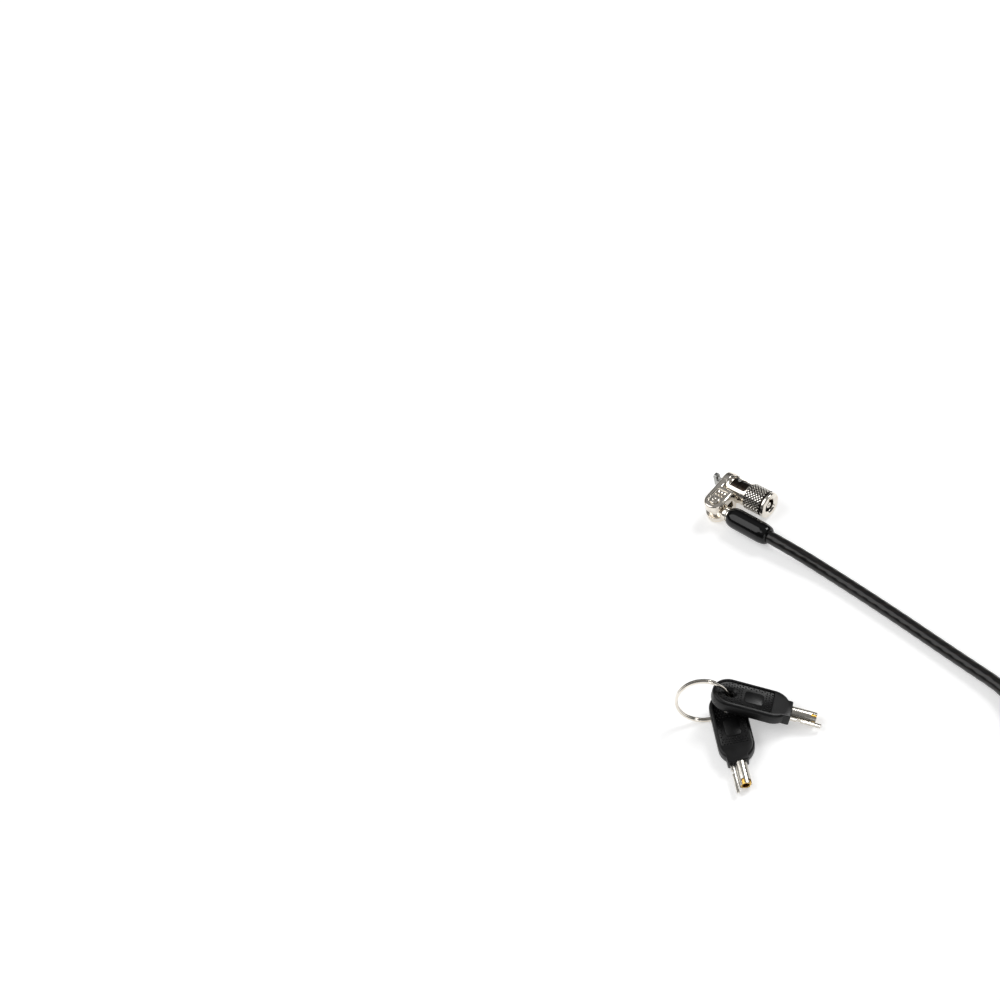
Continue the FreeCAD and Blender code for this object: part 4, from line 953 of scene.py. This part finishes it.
def make_grip():
    """The turned grip: a diamond-knurled band, a plain bright lip and a bevelled mouth round the keyway."""
    root = GRIP_RADIUS - KNURL_DEPTH
    bore = SLEEVE_RADIUS - SLEEVE_WALL + 0.04
    back = BARREL_LENGTH - GRIP_FRONT_WALL
    grip = turned("grip_knurled", filleted([
        (GRIP_START, bore), (GRIP_START, root, 0.1), (LIP_START, root, 0.05), (LIP_START, GRIP_RADIUS, 0.12),
        (BARREL_LENGTH, GRIP_RADIUS, 0.75), (BARREL_LENGTH, KEYWAY_RADIUS + 0.75, 0.15),
        (BARREL_LENGTH - 0.7, KEYWAY_RADIUS, 0.15), (back, KEYWAY_RADIUS), (back, bore),
    ]), 144)
    mark_angle = math.radians(90.0)
    mark = rod("mark", BARREL_LENGTH - MARK_DEPTH, BARREL_LENGTH + 1, MARK_RADIUS, 24)
    at_mark = (0, -MARK_ORBIT * math.cos(mark_angle), MARK_ORBIT * math.sin(mark_angle))
    combine(grip, moved(mark, Matrix.Translation(at_mark)))
    pitch = math.pi * root / KNURL_AROUND
    rows = int((LIP_START - GRIP_START - 2 * pitch) / pitch) + 1
    values = {"Around": KNURL_AROUND, "Rows": rows, "Pitch": pitch, "Start": GRIP_START + pitch,
              "Root Radius": root - 0.02, "Height": 0.36}
    points = grown("knurl points", *knurl_tree(values), values)
    for piece in (points, grip):
        piece.data.transform(Matrix.Scale(MM, 4))
    set_materials(grip.data, TURNING, KNURL)
    for face in grip.data.polygons:
        centre = face.center
        outward = face.normal.dot(Vector((0, centre.y, centre.z)).normalized())
        knurled = GRIP_START * MM < centre.x < LIP_START * MM and outward > 0.5
        face.material_index = 1 if knurled else 0
    points.data.polygons.foreach_set("material_index", [1] * len(points.data.polygons))
    stand_in(merged(grip, points), None, "knurled_grip", scale=1.0)


def make_core():
    """What shows in the window and the keyway: the blackened cylinder, its pin and the plug's post."""
    bore = SLEEVE_RADIUS - SLEEVE_WALL - SEAT
    groove = bore - 0.25
    end = BARREL_LENGTH - GRIP_FRONT_WALL
    cylinder_bore = bore - CYLINDER_WALL
    plug_end = end - 2.3
    case = turned("lock_cylinder_case", filleted([
        (CYLINDER_START, cylinder_bore), (CYLINDER_START, bore, 0.3), (7.9, bore), (8.0, groove), (9.1, groove),
        (9.2, bore), (end, bore), (end, KEYWAY_RADIUS), (plug_end + 0.04, KEYWAY_RADIUS),
        (plug_end + 0.04, cylinder_bore),
    ]), 96)
    combine(case, moved(rod("pin hole", 2, 7, PIN_RADIUS + 0.03, 32), pin_place()))
    stand_in(case, BLACKENED, "lock_cylinder")
    pin = turned("retaining_pin_head", filleted([
        (2.74, 0), (2.74, PIN_RADIUS), (5.05, PIN_RADIUS, 0.22), (5.15, 0.3, 0.05), (5.0, 0.2), (5.0, 0),
    ]), 40)
    stand_in(moved(pin, pin_place()), STEEL, "retaining_pin")
    shear = plug_end - PLUG_LENGTH + 0.02
    plug_radius = cylinder_bore - 0.04
    post_end = BARREL_LENGTH - POST_RECESS
    rotor = turned("plug_and_post", filleted([
        (shear, 0), (shear, plug_radius, 0.1), (plug_end, plug_radius, 0.1), (plug_end, POST_RADIUS),
        (post_end, POST_RADIUS, 0.35), (post_end, 0.55, 0.1), (post_end - 0.4, 0.35, 0.1), (post_end - 0.4, 0),
    ]), 64)
    stand_in(rotor, TURNING, "plug_rotor")


def pin_place():
    """Turns a piece along X into the retaining pin's hole, which points up and a little to +Y."""
    angle = math.radians(PIN_ANGLE)
    direction = Vector((0, -math.cos(angle), math.sin(angle)))
    return Matrix.Translation((PIN_X, 0, 0)) @ direction.to_track_quat("X", "Z").to_matrix().to_4x4()


# ---- swivel and ferrule --------------------------------------------------------


def make_knuckle():
    """The hinge knuckle between the ears, and the round boss in which the cable's stud turns."""
    half = (LUG_SLOT_TOP - LUG_SLOT_BOTTOM) / 2 - 0.1
    arm = KNUCKLE_ARM_WIDTH / 2
    eye = prism("knuckle_cast", stadium_outline(0.0, KNUCKLE_RADIUS, 24)[:-1], -half, half, 0.25, 0.25)
    combine(eye, block("arm", (0.5, -arm, -half + 0.02), (5.45, arm, half - 0.02), 0.2, 2), "UNION")
    boss = turned("boss", filleted([
        (BOSS_START, 0), (BOSS_START, BOSS_RADIUS, 0.35), (BOSS_END, BOSS_RADIUS, 0.35), (BOSS_END, 0)]), 72)
    combine(eye, boss, "UNION")
    combine(eye, moved(rod("pin bore", -3, 3, HINGE_RADIUS + 0.04, 48), UPRIGHT))
    combine(eye, rod("stud bore", 2.3, 8, 1.14, 48))
    combine(eye, block("head room", (2.3, -1.85, -3), (4.1, 1.85, 3)))
    return stand_in(eye, CASTING, "pivot_knuckle", place=ON_CABLE)


def make_ferrule():
    """The glossy moulded barrel over the cable's end: domed at the stud, shouldered at the cable."""
    start, end = FERRULE_START, FERRULE_START + FERRULE_LENGTH
    outline = filleted([
        (start, 1.12), (start, 2.9, 0.3), (start + 0.5, 3.75, 0.9), (start + 2.6, FERRULE_RADIUS, 1.6),
        (end - 3.6, FERRULE_RADIUS, 0.6), (end - 0.9, 4.1, 1.2), (end, 3.2, 0.5), (end, 2.77, 0.1), (end - 4.2, 2.77),
        (end - 4.2, 3.52), (start + 1.6, 3.52), (start + 1.6, 1.12),
    ], 7)
    return stand_in(turned("ferrule_moulded", outline, 128), NYLON, "cable_ferrule", place=ON_CABLE)


# ---- ring and keys -------------------------------------------------------------

RING_RADIUS, RING_WIRE_RADIAL, RING_WIRE_AXIAL = 11.0, 1.1, 0.9
RING_BEARING, RING_LEAN = 40.9, 78.0
RING_TURN, RING_CROSSING, RING_OFFSET, RING_STEPS = 612.0, 50.0, 0.465, 300    # the first two in degrees


def make_ring():
    """A split ring of flattened spring wire: two turns that part where the keys hang."""
    middle = RING_RADIUS - RING_WIRE_RADIAL / 2
    across, along = RING_WIRE_RADIAL / 2, RING_WIRE_AXIAL / 2
    section = filleted([(-across, -along, 0.3), (across, -along, 0.3), (across, along, 0.3), (-across, along, 0.3)], 3)
    shape = bmesh.new()
    rings = []
    for step in range(RING_STEPS + 1):
        angle = RING_TURN / 2 - RING_TURN * step / RING_STEPS
        offset = RING_OFFSET * max(-1.0, min(1.0, angle / RING_CROSSING))
        outward = Vector((math.cos(math.radians(angle)), math.sin(math.radians(angle)), 0))
        point = outward * middle + Vector((0, 0, offset))
        rings.append([shape.verts.new(point + outward * a + Vector((0, 0, b))) for a, b in section])
    low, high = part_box("split_ring")
    place = Matrix.Translation((low + high) / 2) @ Matrix.Rotation(math.radians(RING_BEARING), 4, "Z")
    place = place @ Matrix.Rotation(math.radians(RING_LEAN), 4, "X")
    return stand_in(bridged("split_ring_wire", shape, rings), TURNING, "split_ring", place=place)


KEY_JOINT = KEY_HEAD_LENGTH - KEY_HEAD_WIDTH / 2
KEY_TUBE_END = KEY_JOINT + KEY_TUBE_LENGTH
KEY_BAR_Y, KEY_BAR_SIDE, KEY_BAR_REACH, KEY_BAR_ROOT = -3.45, 1.3, 2.4, 3.8
KEY_PANEL_DEPTH, KEY_PANEL_MARGIN = 0.6, 1.5
KEY_HOLE_RADIUS, KEY_HOLE_FLARE = 1.8, 1.0
KEY_NECK_LENGTH, KEY_NECK_LIP = 4.6, 0.6


def key_place(key):
    """From the key's own frame, with X along the tube from the ring hole, to where it lies."""
    hole = Vector(JOINTS[key + "_swing"]["pos_m"])
    reach = math.hypot(KEY_TUBE_END, KEY_TUBE_RADIUS)
    drop = hole.z / MM - TABLE_Z - 0.02
    dip = math.asin(drop / reach) - math.atan2(KEY_TUBE_RADIUS, KEY_TUBE_END)
    heading, roll = [math.radians(turn) for turn in KEY_TURNS[key]]
    lying = Matrix.Translation(hole) @ Matrix.Rotation(heading, 4, "Z")
    return lying @ Matrix.Rotation(dip, 4, "Y") @ Matrix.Rotation(roll, 4, "X")


def stipple_tree(values):
    """Geometry nodes: low domes on a staggered grid, kept inside a stadium and clear of two places."""
    tree, sockets, given = geometry_tree("stippled panel", values)
    calc = partial(maths, tree)
    grid = add(tree, "GeometryNodeMeshGrid", {"Size X": 40.0, "Size Y": 24.0, "Vertices X": 41, "Vertices Y": 25})
    position = add(tree, "GeometryNodeInputPosition").outputs[0]
    cell = add(tree, "ShaderNodeSeparateXYZ", {0: position}).outputs
    shift = calc("MULTIPLY_ADD", calc("PINGPONG", cell["X"], 1.0), 0.5, cell["Y"])
    row_gap = calc("MULTIPLY", given["Pitch"], 0.866)
    spot = add(tree, "ShaderNodeCombineXYZ", {
        "X": calc("MULTIPLY", cell["X"], row_gap), "Y": calc("MULTIPLY", shift, given["Pitch"])})
    spread = add(tree, "GeometryNodeSetPosition", {"Geometry": grid.outputs[0], "Position": spot.outputs[0]})

    def length(vector):
        return add(tree, "ShaderNodeVectorMath", {"operation": "LENGTH", 0: vector}).outputs["Value"]

    x, y = add(tree, "ShaderNodeSeparateXYZ", {0: position}).outputs[:2]
    nearest = add(tree, "ShaderNodeClamp", {"Value": x, "Min": given["Panel Start"], "Max": given["Panel End"]})
    aside = add(tree, "ShaderNodeCombineXYZ", {"X": calc("SUBTRACT", x, nearest.outputs[0]), "Y": y}).outputs[0]
    near_x = calc("LESS_THAN", calc("ABSOLUTE", calc("SUBTRACT", x, given["Plate Middle"])), given["Plate Half Length"])
    near_y = calc("LESS_THAN", calc("ABSOLUTE", y), given["Plate Half Width"])
    drop = calc("GREATER_THAN", length(aside), given["Panel Half Width"])
    for other in (calc("GREATER_THAN", x, given["Panel End"]),
                  calc("GREATER_THAN", given["Hole Radius"], length(position)), calc("MULTIPLY", near_x, near_y)):
        drop = calc("MAXIMUM", drop, other)
    kept = add(tree, "GeometryNodeDeleteGeometry", {
        "domain": "POINT", "Geometry": spread.outputs[0], "Selection": drop})
    dome = add(tree, "GeometryNodeMeshIcoSphere", {"Subdivisions": 2, "Radius": given["Dot Radius"]})
    # The dots take the ABS with the painted highlight.
    scatter(tree, kept, dome, ABS_DOT_HIGHLIGHT, Scale=(1.0, 1.0, 0.9))
    return tree, sockets


def key_head_mesh():
    """The moulded head: rounded body with sunk stippled panels, a bare plate, a flared hole and a neck."""
    half = KEY_HEAD_THICKNESS / 2
    length = KEY_HEAD_LENGTH - KEY_HEAD_WIDTH
    head = prism("key head", stadium_outline(length, KEY_HEAD_WIDTH / 2, 24), -half, half, 1.1, 1.1, steps=4)
    panel_half = KEY_HEAD_WIDTH / 2 - KEY_PANEL_MARGIN
    panel_end = length + 0.2
    web = half - KEY_PANEL_DEPTH
    panel = [(panel_end, -panel_half, 0.8), (panel_end, panel_half, 0.8)]
    outline = filleted(panel + arc((0.0, 0.0), panel_half, 90, 180, 24))
    combine(head, prism("upper panel", outline, web, half + 1, bevel_low=0.18, steps=2))
    combine(head, prism("lower panel", outline, -half - 1, -web, bevel_high=0.18, steps=2))
    back, front = KEY_JOINT - KEY_NECK_LENGTH, KEY_JOINT + KEY_NECK_LIP
    right, left = KEY_BAR_Y - KEY_BAR_SIDE / 2 - 0.9, KEY_TUBE_RADIUS + 1.0
    neck = filleted([(back, right, 0.3), (front, right, 0.7), (front, left, 0.7), (back, left, 0.3)], 4)
    combine(head, prism("neck", neck, -half, half, 0.55, 0.55, steps=3), "UNION")
    flare = KEY_HOLE_RADIUS + KEY_HOLE_FLARE
    waist = web - KEY_HOLE_FLARE
    bore = turned("ring hole", filleted([
        (-web - 1, 0), (-web - 1, flare + 0.5), (-web + 0.02, flare, 0.3), (-waist, KEY_HOLE_RADIUS, 0.5),
        (waist, KEY_HOLE_RADIUS, 0.5), (web - 0.02, flare, 0.3), (web + 1, flare + 0.5), (web + 1, 0),
    ]), 48)
    combine(head, moved(bore, UPRIGHT))
    combine(head, rod("tube room", KEY_JOINT - 5.6, KEY_JOINT + 2, 2.1, 48))
    room = KEY_BAR_SIDE / 2 + 0.02
    combine(head, block("bar room", (KEY_JOINT - KEY_BAR_ROOT, KEY_BAR_Y - room, -room),
                        (KEY_JOINT + 2, KEY_BAR_Y + room, room)))
    values = {"Pitch": 1.25, "Dot Radius": 0.34, "Panel Start": 0.0, "Panel End": panel_end - 0.6,
              "Panel Half Width": panel_half - 0.45, "Hole Radius": flare + 0.35, "Plate Middle": 9.4,
              "Plate Half Length": 4.6, "Plate Half Width": 3.9}
    stipple = stipple_tree(values)
    plate_outline = filleted([(5.6, -3.0, 1.6), (13.2, -3.0, 1.6), (13.2, 3.0, 1.6), (5.6, 3.0, 1.6)])
    extras = []
    for side, turn in ((1, 0), (-1, math.pi)):
        dots = grown("dots", *stipple, values)
        dots.data.polygons.foreach_set("material_index", [1] * len(dots.data.polygons))
        plate = prism("bare plate", plate_outline, -0.2, 0.22, bevel_high=0.14, steps=2)
        place = Matrix.Translation((0, 0, web * side)) @ Matrix.Rotation(turn, 4, "X")
        extras += [moved(dots, place), moved(plate, place)]
    mesh = merged(head, *extras).data
    set_materials(mesh, ABS, ABS_DOT_HIGHLIGHT)
    return mesh


def across_attribute(piece, scale):
    """Stores where each point lies round the tube or bar, so that streaks run along it."""
    store_vectors(piece, "across", [c for v in piece.data.vertices for c in (v.co.x * scale, v.co.y, v.co.z)])


def key_tube_mesh():
    """The tube with the five cuts of its key code at the tip."""
    neck_end = KEY_JOINT + KEY_NECK_LIP + 0.02
    bore = KEY_TUBE_RADIUS - 0.5
    tube = turned("key tube", filleted([
        (KEY_JOINT - 5.58, bore), (KEY_JOINT - 5.58, 2.12), (neck_end, 2.12), (neck_end, KEY_TUBE_RADIUS, 0.1),
        (KEY_TUBE_END, KEY_TUBE_RADIUS, 0.15), (KEY_TUBE_END, bore, 0.08),
    ]), 96)
    for number, depth in enumerate((2.2, 1.4, 2.4, 1.1, 1.8)):
        notch = block("cut", (KEY_TUBE_END - depth, -0.65, 0.3), (KEY_TUBE_END + 1, 0.65, 5), 0.12, 2)
        combine(tube, moved(notch, Matrix.Rotation(math.radians(20 + 72 * number), 4, "X")))
    return tube.data


def key_liner_mesh():
    """The brass liner, open at the tip and closed behind it."""
    outer = KEY_TUBE_RADIUS - 0.52
    root, tip, floor = KEY_JOINT - 3.0, KEY_TUBE_END - 0.05, KEY_JOINT - 2.0
    return turned("key liner", filleted([
        (root, 0), (root, outer), (tip, outer, 0.08), (tip, outer - 0.5, 0.08), (floor, outer - 0.5), (floor, 0),
    ]), 72).data


def key_bar_mesh():
    """The square bar beside the tube, with its notch."""
    half = KEY_BAR_SIDE / 2
    bar = block("key bar", (KEY_JOINT - KEY_BAR_ROOT, KEY_BAR_Y - half, -half),
                (KEY_TUBE_END + KEY_BAR_REACH, KEY_BAR_Y + half, half), 0.12, 2)
    start = KEY_JOINT + 3.2
    combine(bar, block("bar notch", (start, KEY_BAR_Y - half - 1, -3), (start + 1.6, KEY_BAR_Y, 3), 0.1, 2))
    return bar.data


def make_keys():
    meshes = {"head": key_head_mesh(), "tube": key_tube_mesh(), "liner": key_liner_mesh(), "bar": key_bar_mesh()}
    materials = {"head": None, "tube": KEY_STEEL, "liner": BRASS, "bar": KEY_STEEL}
    for leftover in [o for o in bpy.context.scene.objects if o.type == "MESH" and o.data in meshes.values()]:
        bpy.data.objects.remove(leftover)
    for key in KEY_TURNS:
        place = key_place(key)
        for part, mesh in meshes.items():
            piece = object_of(f"{key}_{part}_made", mesh.copy())
            if materials[part] is KEY_STEEL:
                across_attribute(piece, 0.04)
            stand_in(piece, materials[part], f"{key}_{part}", place=place)


# ---- inner pieces that stay as they are ----------------------------------------


def dress_inner_pieces():
    for node in ("driver_block", "key_pins"):
        dress(node, BRASS)
    for node in ("driver_pins", "tumbler_springs", "spindle_clip", "crimp_tube", "swivel_stud"):
        dress(node, STEEL)
    dress("swivel_washer", TURNING)
    dress("loop_crimp", ALUMINIUM)
    stand_in(softened("tbar_spindle"), STEEL, "tbar_spindle", scale=1.0)
    stand_in(softened("slot_prongs"), STEEL, "slot_prongs", scale=1.0)


make_camera()
make_floor()
make_light()
make_cords()
make_lug()
make_clevis_pin()
make_sleeve()
make_grip()
make_core()
make_knuckle()
make_ferrule()
make_ring()
make_keys()
dress_inner_pieces()
